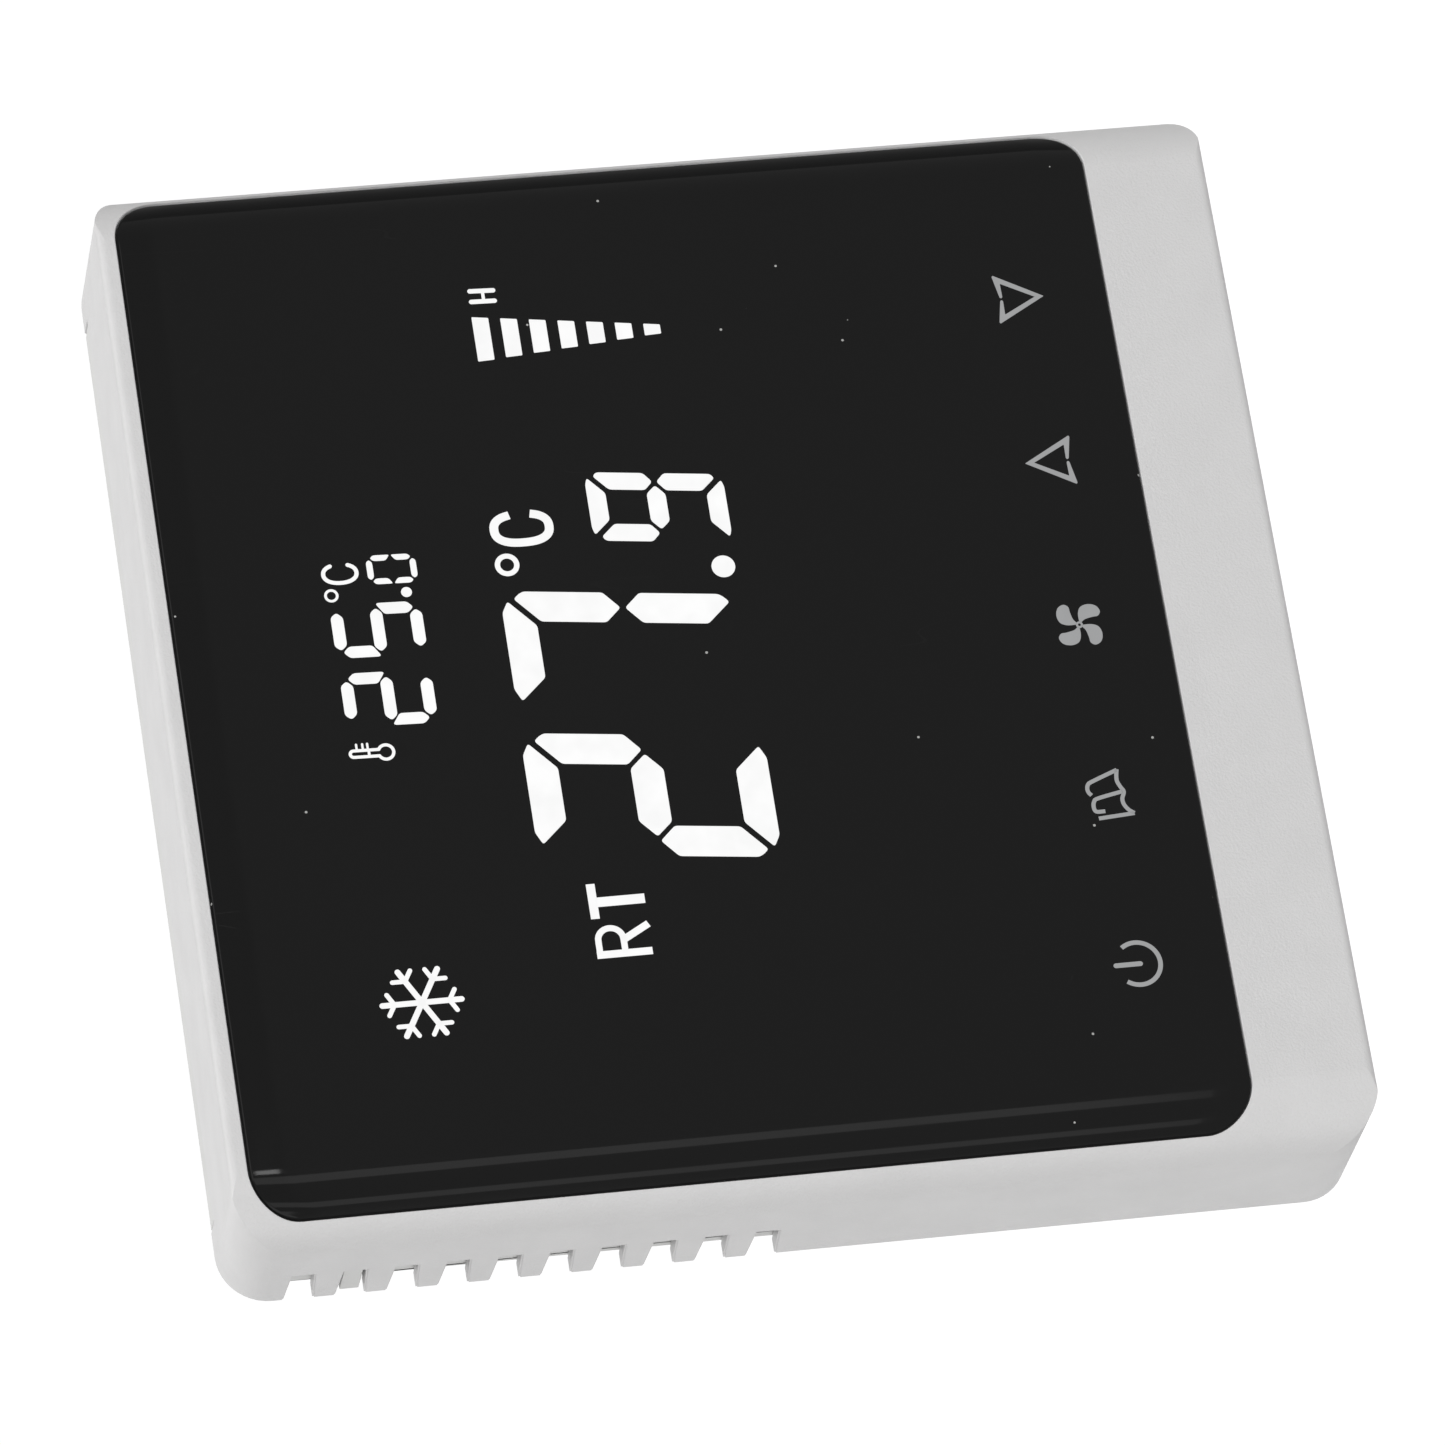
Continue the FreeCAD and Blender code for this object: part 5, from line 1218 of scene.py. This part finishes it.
@dataclass(frozen=True)
class SegmentDigit:
    """A digit of seven segments, leaning a little, with gaps between its segments.

    Lengths are in millimetres. The scale takes all of them but the centre and the softness, which
    is the rounding of the segments' corners.
    """

    centre: tuple[float, float]
    ends: Ends
    scale: float = 1.0
    lean: float = 0.105
    half_width: float = 4.95
    half_height: float = 9.1
    stroke: float = 2.46
    gap: float = 0.36
    shoulder: float = 1.8
    tip: float = 0.85
    clear: float = 0.15
    softness: float = 0.22

    def outlines(self) -> dict[str, np.ndarray]:
        """Outlines of all segments by their usual letters, anticlockwise, upright and centred.

        Returns:
            The outlines in millimetres, before scaling.
        """
        wide, high, thick, gap = self.half_width, self.half_height, self.stroke, self.gap
        if self.ends is Ends.MITRED:
            tip, shoulder, foot = self.tip, self.shoulder, thick / 2 + self.clear
            top = [(-wide + tip, high - tip + gap), (-wide + thick + gap, high - thick),
                   (wide - thick - gap, high - thick), (wide - tip, high - tip + gap),
                   (wide - shoulder, high), (-wide + shoulder, high)]
            right = [(wide - tip * 0.75, high - tip * 0.75 - gap), (wide - thick, high - thick - gap),
                     (wide - thick, foot), (wide - thick / 2, gap / 2), (wide, foot),
                     (wide, high - shoulder), (wide - tip * 0.25, high - shoulder + tip * 0.45)]
            middle_tip, middle_shoulder = thick / 2 + gap, thick + gap
        else:
            pull = gap / 2
            top = [(-wide + thick * 0.55 + pull, high - thick / 2), (-wide + thick + pull, high - thick),
                   (wide - thick - pull, high - thick), (wide - thick * 0.55 - pull, high - thick / 2),
                   (wide - thick * 0.95 - pull, high), (-wide + thick * 0.95 + pull, high)]
            right = [(wide - thick / 2, high - thick * 0.5 - pull), (wide - thick, high - thick - pull),
                     (wide - thick, thick * 0.55 + pull), (wide - thick * 0.12, pull * 0.7),
                     (wide, thick * 0.1 + pull), (wide, high - thick - pull)]
            middle_tip, middle_shoulder = thick * 0.3 + pull, thick * 0.75 + pull
        middle = [(-wide + middle_tip, 0.0), (-wide + middle_shoulder, -thick / 2),
                  (wide - middle_shoulder, -thick / 2), (wide - middle_tip, 0.0),
                  (wide - middle_shoulder, thick / 2), (-wide + middle_shoulder, thick / 2)]
        upper, side = np.array(top), np.array(right)
        return {
            "a": upper, "d": (upper * (1, -1))[::-1], "g": np.array(middle), "b": side,
            "c": (side * (1, -1))[::-1], "f": (side * (-1, 1))[::-1], "e": side * (-1, -1),
        }

    def shape(self, lit: str, front: float, back: float) -> Shape:
        """The lit segments as flat plates.

        Args:
            lit: the letters of the lit segments.
            front: Y of the plates' front.
            back: Y of the plates' back.

        Returns:
            The plates, joined.
        """
        every = self.outlines()
        plates = []
        for letter in lit:
            outline = softened(every[letter] * self.scale, self.softness)
            outline = outline + np.column_stack([outline[:, 1] * self.lean, np.zeros(len(outline))])
            plates.append(prism((outline + self.centre) * MM, front, back))
        return joined(plates)


@dataclass
class ReadOut:
    """The lit read-out and the key symbols, which show as flat marks in the lens's surface.

    Their places and widths are in millimetres, in X and Z from the thermostat's middle.
    """

    proud: float = 0.02 * MM
    sunk: float = 0.01 * MM

    def __post_init__(self) -> None:
        """Take the face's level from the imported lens."""
        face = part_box("touch_lens")[0].y
        self.front, self.back = face - self.proud, face + self.sunk

    def stroke(self, path: np.ndarray, width: float, closed: bool = False,
               rounded: bool = False) -> Shape:
        """A stroke in the face, from a path and a width in millimetres."""
        return ribbon(np.array(path, float) * MM, width * MM, self.front, self.back, closed, rounded)

    def fill(self, outline: np.ndarray) -> Shape:
        """A filled mark in the face, from an outline in millimetres."""
        return prism(np.array(outline, float) * MM, self.front, self.back)

    def mark(self, name: str, shape: Shape, glow: Glow = Glow.BRIGHT) -> None:
        """Place a mark on the front unit."""
        place(name, shape, glow.value, Body.FRONT)

    def build(self) -> None:
        """Make all marks."""
        self.room_temperature()
        self.set_temperature()
        self.letters()
        self.snowflake()
        self.thermometer()
        self.fan_bars()
        self.keys()

    def temperature(self, name: str, digits: Sequence[tuple[SegmentDigit, str]],
                    point: np.ndarray, unit: Shape) -> None:
        """One temperature: its tens, units and tenths, the point between them, and its unit.

        Args:
            name: what the names of its pieces start with.
            digits: each digit with the letters of its lit segments, from the left.
            point: the point's outline, in millimetres.
            unit: the unit's mark.
        """
        for which, (digit, lit) in zip(("tens", "units", "tenths"), digits):
            self.mark(f"{name}_{which}", digit.shape(lit, self.front, self.back))
        self.mark(f"{name}_point", self.fill(point))
        self.mark(f"{name}_unit", unit)

    def room_temperature(self) -> None:
        """The large 27.9 with its point and unit."""
        tens = SegmentDigit((-11.17, 7.68), Ends.MITRED)
        units = SegmentDigit((0.52, 7.55), Ends.MITRED)
        tenths = SegmentDigit((12.24, 3.65), Ends.MITRED, scale=0.577, gap=0.55)
        bend = bow((11.45, 14.22), (1.18, 2.10), 29, 331, 40, 2.5)
        letter = self.stroke(np.vstack([(12.60, 15.02), bend, (12.60, 13.44)]), 0.66)
        degree = self.stroke(circle((8.53, 15.74), 0.73), 0.40, closed=True)
        self.temperature("room", ((tens, "abged"), (units, "abc"), (tenths, "abcdfg")),
                         circle((6.93, -0.54), 0.90), letter + degree)

    def set_temperature(self) -> None:
        """The small 25.0 with its point and unit."""
        sizes = {"lean": 0.03, "half_width": 2.19, "half_height": 3.45, "stroke": 0.93, "gap": 0.24}
        tens = SegmentDigit((-1.52, 26.12), Ends.POINTED, **sizes)
        units = SegmentDigit((4.12, 26.12), Ends.POINTED, **sizes)
        sizes.update(stroke=0.86, gap=0.42)
        tenths = SegmentDigit((8.99, 24.44), Ends.POINTED, scale=0.545, **sizes)
        letter = self.stroke(bow((8.95, 28.38), (0.76, 1.26), 30, 330, 32, 2.2), 0.31, rounded=True)
        degree = self.stroke(circle((7.2, 29.26), 0.44), 0.20, closed=True)
        self.temperature("set", ((tens, "abged"), (units, "afgcd"), (tenths, "abcdef")),
                         circle((7.0, 23.6), 0.41), letter + degree)

    def letters(self) -> None:
        """The plain letters R, T and H of the read-out."""
        bend = bow((-22.45, 12.4), (0.93, 0.95), 80, -80, 16)
        bowl = np.vstack([[(-23.6, 13.35), (-22.6, 13.35)], bend, [(-22.6, 11.45), (-23.6, 11.45)]])
        leg = [(-22.55, 11.5), (-21.42, 9.43)]
        self.mark("letter_r", self.stroke([(-23.6, 13.6), (-23.6, 9.43)], 0.58)
                  + self.stroke(bowl, 0.47) + self.stroke(leg, 0.56))
        self.mark("letter_t", self.stroke([(-20.69, 13.3), (-17.88, 13.3)], 0.66)
                  + self.stroke([(-19.38, 13.1), (-19.38, 9.40)], 0.76))
        self.mark("letter_h", joined([
            self.stroke([(30.58, 15.33), (30.54, 13.55)], 0.37, rounded=True),
            self.stroke([(31.48, 15.33), (31.42, 13.55)], 0.37, rounded=True),
            self.stroke([(30.6, 14.37), (31.4, 14.37)], 0.25),
        ]))

    def snowflake(self) -> None:
        """Six arms at sixty degrees, each with two barbs."""
        centre, reach, fork, barb = np.array([-26.07, 27.05]), 2.95, 2.05, 0.95
        arm_width, barb_width, strokes = 0.44, 0.35, []
        for turn in np.radians(90 + 60 * np.arange(6)):
            arm = np.array([math.cos(turn), math.sin(turn)])
            strokes.append(self.stroke([centre, centre + reach * arm], arm_width, rounded=True))
            for side in (-1, 1):
                lean = turn + side * math.radians(60)
                tip = np.array([math.cos(lean), math.sin(lean)]) * barb
                strokes.append(self.stroke([centre + fork * arm, centre + fork * arm + tip], barb_width,
                                           rounded=True))
        self.mark("cooling_symbol", joined(strokes))

    def thermometer(self) -> None:
        """A tube over a bulb, with a level bar and three ticks."""
        tube_half, bulb, bulb_shift, line = 0.26, 0.58, 0.04, 0.24
        across, foot, top, level, level_width = -5.80, 26.93, 29.35, 28.2, 0.2
        tick_start, tick_end, tick_width, tick_levels = 0.3, 0.75, 0.17, (29.08, 28.62, 28.25)
        start = math.degrees(math.acos(tube_half / bulb))
        arch = bow((across, top), (tube_half, tube_half), 0, 180, 12)
        round_part = bow((across - bulb_shift, foot), (bulb, bulb), 180 - start, 360 + start, 28)
        outline = self.stroke(np.vstack([arch, round_part]), line, closed=True)
        ticks = [self.stroke([(across + tick_start, up), (across + tick_end, up)], tick_width,
                             rounded=True) for up in tick_levels]
        bar = self.stroke([(across - tube_half, level), (across + tube_half, level)], level_width)
        self.mark("thermometer_symbol", joined([outline, bar, *ticks]))

    def fan_bars(self) -> None:
        """Seven bars that narrow evenly downwards."""
        count, top, pitch, half = 7, 14.88, 2.165, 0.63
        first_left, first_right, left_step, right_step = 25.55, 29.30, 0.18, 0.28
        left_slant, right_slant, softness = 0.06, 0.17, 0.08
        bars = []
        for step in range(count):
            middle = top - pitch * step
            left, right = first_left + left_step * step, first_right - right_step * step
            low, high = middle - half, middle + half
            bar = [(left + left_slant, low), (right - right_slant, low), (right, high), (left, high)]
            bars.append(self.fill(softened(np.array(bar), softness)))
        self.mark("fan_speed_bars", joined(bars))

    def keys(self) -> None:
        """The five key symbols: power, menu, fan, up and down."""
        dim = Glow.DIM
        ring = bow((-28.15, -26.6), (1.70, 1.70), 143, 397, 48)
        self.mark("power_symbol", self.stroke(ring, 0.35)
                  + self.stroke([(-28.17, -24.92), (-28.17, -26.78)], 0.38, rounded=True), dim)
        self.mark("menu_symbol", self.book(), dim)
        self.mark("fan_symbol", self.fan((-0.33, -26.78)), dim)
        self.mark("up_symbol", self.arrow((13.36, -24.82), 1), dim)
        self.mark("down_symbol", self.arrow((27.28, -28.60), -1), dim)

    def book(self) -> Shape:
        """An open book drawn in strokes: two covers, a spine and a waved foot.

        Returns:
            The mark.
        """
        width = 0.31
        foot = smooth_path([(-16.04, -28.38), (-15.72, -27.98), (-15.26, -27.70), (-14.78, -27.66),
                            (-14.24, -27.86), (-13.80, -27.66), (-13.33, -27.49), (-12.85, -27.52),
                            (-12.38, -27.62)])
        spine = smooth_path([(-14.20, -27.78), (-14.60, -25.86), (-14.82, -25.50), (-15.24, -25.38),
                             (-15.66, -25.52), (-15.69, -26.20)])
        right = smooth_path([(-12.42, -27.62), (-13.20, -25.62), (-13.42, -25.26), (-13.76, -25.14),
                             (-14.08, -25.20), (-14.32, -25.38)])
        left = [(-16.24, -25.62), (-16.05, -28.38)]
        return joined([self.stroke(path, width) for path in (foot, spine, right, left)])

    def fan(self, hub: tuple[float, float]) -> Shape:
        """Four blades round a ring, each a smooth closed curve turned by a quarter.

        Args:
            hub: the ring's centre.

        Returns:
            The mark.
        """
        ring, line = 0.19, 0.16
        blade = smooth_path([(0.10, 0.16), (0.50, 0.42), (1.10, 0.56), (1.52, 0.62), (1.74, 0.95),
                             (1.58, 1.36), (1.22, 1.58), (0.72, 1.62), (0.26, 1.42), (0.05, 0.98),
                             (0.02, 0.45)], closed=True)
        blades = []
        for quarter in range(4):
            turn = math.radians(90 * quarter)
            spin = np.array([[math.cos(turn), math.sin(turn)], [-math.sin(turn), math.cos(turn)]])
            blades.append(self.fill(blade @ spin + hub))
        return joined(blades + [self.stroke(circle(hub, ring), line, closed=True)])

    def arrow(self, apex: tuple[float, float], up: int) -> Shape:
        """A hollow triangle whose base is two wedges that nearly meet.

        Args:
            apex: the outer tip.
            up: 1 if it points up, -1 if down.

        Returns:
            The mark.
        """
        softness = 0.06
        wedge = [(0.0, -0.02), (-2.04, -3.70), (-1.94, -3.78), (-0.15, -3.44), (-0.07, -3.32),
                 (-0.17, -3.22), (-1.32, -3.24), (0.0, -0.72)]
        left = softened(np.array(wedge), softness)
        right = (left * (-1, 1))[::-1]
        return joined([self.fill(side * up + apex) for side in (left, right)])


# --------------------------------------------------------------------------------------------
# What shows inside and at the back
# --------------------------------------------------------------------------------------------
@dataclass(frozen=True)
class PartRow:
    """A straight row of small parts: its first centre, its step and its count, in millimetres."""

    first: tuple[float, float]
    step: tuple[float, float]
    count: int

    def centres(self) -> np.ndarray:
        """Give the centres of the row's parts."""
        return np.array(self.first) + np.arange(self.count)[:, None] * np.array(self.step)


@dataclass
class SmallParts:
    """Small ceramic resistors and capacitors with tinned ends, on the control board's rear face.

    Sizes across the board are in millimetres, heights over it in metres.
    """

    length: float = 1.6
    width: float = 0.8
    end: float = 0.3
    end_over: float = 0.04
    tall: float = 0.5 * MM
    sunk: float = 0.02 * MM
    rows: tuple[PartRow, ...] = (
        PartRow((-18.6, 2.4), (2.3, 0.0), 5), PartRow((-5.9, 5.2), (0.0, 1.6), 7),
        PartRow((7.6, 11.2), (2.3, 0.0), 6), PartRow((24.2, 14.2), (0.0, 1.6), 6),
        PartRow((17.2, -25.6), (0.0, 1.6), 5), PartRow((-36.2, 19.4), (0.0, 1.6), 4),
        PartRow((-18.0, 25.0), (2.3, 0.0), 4),
    )

    def block(self, centre: np.ndarray, across: float, up: float, tall: float) -> Shape:
        """A small block that stands on the board's rear face.

        Args:
            centre: its middle, in millimetres.
            across: its size in X, in millimetres.
            up: its size in Z, in millimetres.
            tall: its height over the board, in metres.

        Returns:
            The closed block.
        """
        corners = np.array([(-across, -up), (across, -up), (across, up), (-across, up)]) / 2
        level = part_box("control_board")[1].y
        return prism((corners + centre) * MM, level - self.sunk, level + tall)

    def build(self) -> None:
        """Place the bodies as one piece and the tinned ends as another."""
        centres = np.vstack([row.centres() for row in self.rows])
        middle = self.length - 2 * self.end
        shift = np.array([(self.length - self.end) / 2, 0.0])
        bodies = [self.block(centre, middle, self.width, self.tall) for centre in centres]
        ends = [self.block(centre + side * shift, self.end, self.width + self.end_over,
                           self.tall + self.sunk) for centre in centres for side in (-1, 1)]
        place("small_parts", joined(bodies), "chip_ceramic", Body.FRONT)
        place("small_part_ends", joined(ends), "solder", Body.FRONT)


@dataclass
class TerminalNumbers:
    """The numbers 1 to 8, printed on the terminal block over its screws and read from behind.

    Sizes across the block are in millimetres, heights over it in metres.
    """

    over: float = 1.55
    thick: float = 0.20
    proud: float = 0.02 * MM
    sunk: float = 0.01 * MM

    @staticmethod
    def strokes(number: int) -> list[list[tuple[float, float]]]:
        """Give a number's strokes about its middle, for a height of 1.5 mm.

        Args:
            number: the number, 1 to 8.

        Returns:
            The strokes' points, in millimetres.
        """
        upper = [(-0.36, 0.45), (-0.22, 0.70), (0.12, 0.74), (0.38, 0.48), (0.34, 0.18)]
        lower = [(0.36, -0.16), (0.36, -0.46), (0.10, -0.74), (-0.20, -0.72), (-0.38, -0.50)]
        loop = [(0.0, 0.04), (0.30, 0.20), (0.32, 0.52), (0.0, 0.74), (-0.32, 0.52), (-0.30, 0.20)]
        return {
            1: [[(-0.24, 0.46), (0.05, 0.74)], [(0.05, 0.78), (0.05, -0.75)]],
            2: [upper + [(-0.40, -0.70)], [(-0.45, -0.68), (0.42, -0.68)]],
            3: [upper + [(0.0, 0.06)], [(0.0, 0.06)] + lower],
            4: [[(0.16, -0.75), (0.16, 0.75)], [(0.14, 0.70), (-0.40, -0.28)],
                [(-0.46, -0.30), (0.42, -0.30)]],
            5: [[(0.36, 0.68), (-0.34, 0.68)], [(-0.30, 0.72), (-0.34, 0.06)],
                [(-0.34, 0.10), (0.08, 0.16)] + lower],
            6: [[(0.28, 0.72), (-0.16, 0.40), (-0.36, -0.10), (-0.36, -0.42), (-0.10, -0.74),
                 (0.18, -0.72), (0.37, -0.42), (0.30, -0.06), (0.0, 0.06), (-0.30, -0.12)]],
            7: [[(-0.42, 0.68), (0.44, 0.68)], [(0.38, 0.66), (-0.10, -0.75)]],
            8: [loop + loop[:1], [(x * 1.12, 0.08 - z) for x, z in loop + loop[:1]]],
        }[number]

    def build(self) -> None:
        """Place all numbers as one piece."""
        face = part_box("terminal_block")[1].y
        shapes = []
        for number in range(1, 9):
            low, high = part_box(f"terminal_screw_{number}")
            centre = np.array([(low.x + high.x) / 2, high.z + self.over * MM])
            shapes += [ribbon(np.array(path) * (-MM, MM) + centre, self.thick * MM, face - self.sunk,
                              face + self.proud) for path in self.strokes(number)]
        place("terminal_numbers", joined(shapes), "white_frame", Body.WALL)


# --------------------------------------------------------------------------------------------
# Studio
# --------------------------------------------------------------------------------------------
@dataclass(frozen=True)
class Lamp:
    """A rectangular soft lamp that points at the thermostat, with its power in watts."""

    name: str
    at: tuple[float, float, float]
    size: tuple[float, float]
    power: float
    diffuse: bool = True

    @classmethod
    def as_bright_as(cls, name: str, at: tuple[float, float, float], size: tuple[float, float],
                     brightness: float, diffuse: bool = True) -> "Lamp":
        """Give a lamp by how bright it looks: its power is that times its area times pi.

        Args:
            name: the lamp's name.
            at: where it is.
            size: its width and height.
            brightness: how bright it looks, where a white backdrop has 1.
            diffuse: whether it lights matt surfaces, and not only shows in gloss.

        Returns:
            The lamp.
        """
        return cls(name, at, size, brightness * math.pi * size[0] * size[1], diffuse)

    def build(self) -> None:
        """Put the lamp in the scene."""
        data = bpy.data.lights.new(self.name, "AREA")
        data.shape = "RECTANGLE"
        data.size, data.size_y = self.size
        data.energy = self.power
        lamp = linked(self.name, data)
        lamp.rotation_mode = "QUATERNION"
        lamp.location = self.at
        lamp.rotation_quaternion = (-Vector(self.at)).to_track_quat("-Z", "Y")
        lamp.visible_diffuse = self.diffuse


@dataclass
class Studio:
    """Camera, world, floor, grey card and lamps."""

    eye: tuple[float, float, float] = (-311.49 * MM, -717.50 * MM, 139.56 * MM)
    aim: tuple[float, float, float] = (-5.826 * MM, -14.10 * MM, 1.474 * MM)
    roll_deg: float = -94.939
    lens_mm: float = 260.19
    sensor_mm: float = 36.0
    clip: tuple[float, float] = (0.01, 50.0)
    fill_light: float = 0.60
    floor_level: float = -0.30
    floor_size: float = 12.0
    floor_grey: float = 0.45
    floor_roughness: float = 0.9
    floor_lift: float = 0.72
    card_at: float = 0.75
    card_depths: tuple[float, float] = (-0.25, 1.1)
    card_levels: tuple[float, float] = (-0.28, 0.5)
    card_grey: float = 0.01
    card_glow: float = 0.38
    strip_distance: float = 1.25
    strip_tall: float = 0.7
    strip_level: float = -0.12

    def build(self) -> None:
        """Set up everything that isn't the object."""
        self.camera()
        self.world()
        self.floor()
        self.card()
        self.lamps()
        bpy.context.scene.view_settings.view_transform = "Standard"

    def camera(self) -> None:
        """Put the camera at its place, turned about its own axis."""
        data = bpy.data.cameras.new("camera")
        data.lens, data.sensor_width = self.lens_mm, self.sensor_mm
        data.clip_start, data.clip_end = self.clip
        camera = linked("camera", data)
        bpy.context.scene.camera = camera
        look = Vector(self.aim) - Vector(self.eye)
        turn = look.to_track_quat("-Z", "Y") @ Quaternion((0, 0, 1), math.radians(self.roll_deg))
        camera.rotation_mode = "QUATERNION"
        camera.location, camera.rotation_quaternion = self.eye, turn

    def seen(self, nodes: Nodes) -> bpy.types.NodeSocket:
        """1 for rays that show the background: from the camera, off gloss or through glass.

        Args:
            nodes: the nodes of the world or a material.

        Returns:
            The value's socket.
        """
        path = nodes.add("LightPath")
        both = nodes.maths("MAXIMUM", path.outputs["Is Camera Ray"], path.outputs["Is Glossy Ray"])
        return nodes.maths("MAXIMUM", both, path.outputs["Is Transmission Ray"])

    def world(self) -> None:
        """White to look at, and an even soft fill as a light."""
        world = bpy.data.worlds.new("studio")
        bpy.context.scene.world = world
        world.use_nodes = True
        world.node_tree.nodes.clear()
        nodes = Nodes(world.node_tree)
        fill = nodes.add("Background", Color=WHITE, Strength=self.fill_light)
        white = nodes.add("Background", Color=WHITE, Strength=1.0)
        end = nodes.add("OutputWorld")
        nodes.set(end, "Surface", nodes.mix(self.seen(nodes), fill.outputs[0], white.outputs[0]))

    def matt(self, name: str, grey: float) -> tuple[bpy.types.Material, Nodes, bpy.types.Node]:
        """Make a grey material without any gloss.

        Args:
            name: the material's name.
            grey: its grey, from 0 to 1.

        Returns:
            The material, its nodes and its Principled node.
        """
        made = bpy.data.materials.new(name)
        made.use_nodes = True
        shader = made.node_tree.nodes["Principled BSDF"]
        shader.inputs["Base Color"].default_value = (grey, grey, grey, 1.0)
        shader.inputs["Specular IOR Level"].default_value = 0.0
        return made, Nodes(made.node_tree), shader

    def panel(self, name: str, corners: Sequence[tuple[float, float, float]],
              finish: bpy.types.Material) -> bpy.types.Object:
        """Make a flat panel that belongs to the studio, not to the thermostat.

        Args:
            name: the panel's name.
            corners: its four corners in order.
            finish: its material.

        Returns:
            The panel.
        """
        mesh = bpy.data.meshes.new(name)
        mesh.from_pydata(corners, [], [(0, 1, 2, 3)])
        mesh.materials.append(finish)
        panel = linked(name, mesh)
        return panel

    def floor(self) -> None:
        """A wide pale floor below the thermostat, which hangs as on a wall. It is clear from below."""
        made, nodes, shader = self.matt("pale_floor", self.floor_grey)
        shader.inputs["Roughness"].default_value = self.floor_roughness
        lift = nodes.add("Emission", Color=WHITE, Strength=self.floor_lift)
        none = nodes.add("Emission", Color=WHITE, Strength=0.0)
        total = nodes.add("AddShader")
        nodes.set(total, "0", shader.outputs[0])
        nodes.set(total, "1", nodes.mix(self.seen(nodes), none.outputs[0], lift.outputs[0]))
        below = nodes.add("NewGeometry").outputs["Backfacing"]
        sided = nodes.mix(below, total.outputs[0], nodes.add("BsdfTransparent").outputs[0])
        nodes.set(made.node_tree.nodes["Material Output"], "Surface", sided)
        half = self.floor_size / 2
        self.panel("floor", [(x, y, self.floor_level) for x, y in
                             ((-half, -half), (half, -half), (half, half), (-half, half))], made)

    def card(self) -> None:
        """A grey card behind and to the right, which only gloss shows, in the lens's right edge."""
        made, _, shader = self.matt("grey_card", self.card_grey)
        shader.inputs["Emission Color"].default_value = WHITE
        shader.inputs["Emission Strength"].default_value = self.card_glow
        (near, far), (low, high) = self.card_depths, self.card_levels
        card = self.panel("flag", [(self.card_at, y, z) for y, z in
                                   ((near, low), (far, low), (far, high), (near, high))], made)
        card.visible_camera = card.visible_diffuse = card.visible_shadow = False
        card.visible_transmission = False

    def strip(self, name: str, azimuth: float, wide_deg: float, brightness: float) -> Lamp:
        """A tall narrow lamp that shows as a line in the lens's rounded edge.

        Args:
            name: the lamp's name.
            azimuth: its direction from the front, in degrees, to the right if positive.
            wide_deg: its width as seen from the thermostat.
            brightness: how bright it looks, where a white backdrop has 1.

        Returns:
            The lamp.
        """
        turn, away = math.radians(azimuth), self.strip_distance
        at = (away * math.sin(turn), -away * math.cos(turn), self.strip_level)
        size = (away * math.radians(wide_deg), self.strip_tall)
        return Lamp.as_bright_as(name, at, size, brightness)

    def lamps(self) -> None:
        """Large lamps overhead, in front and at the left, two narrow strips, and a small glint."""
        for lamp in (
            Lamp("overhead", (0.2, -0.4, 2.4), (1.8, 1.8), 16.5),
            Lamp("front", (0.6, -2.6, 1.3), (1.6, 1.6), 20.5),
            Lamp("left", (-2.4, -0.6, 0.5), (1.4, 1.4), 15.0),
            self.strip("strip_right", -3.0, 13.0, 2.4),
            self.strip("strip_left", -48.0, 9.0, 2.2),
            Lamp.as_bright_as("glint", (0.27, -1.20, 0.02), (0.15, 0.15), 17.0, diffuse=False),
        ):
            lamp.build()


def main() -> None:
    """Build the looks in order."""
    logging.basicConfig(level=logging.INFO, format="%(message)s")
    PackedParts().build(["touch_lens"])
    TouchLens().build()
    ReadOut().build()
    SmallParts().build()
    TerminalNumbers().build()
    Studio().build()


if __name__ == "__main__":
    main()
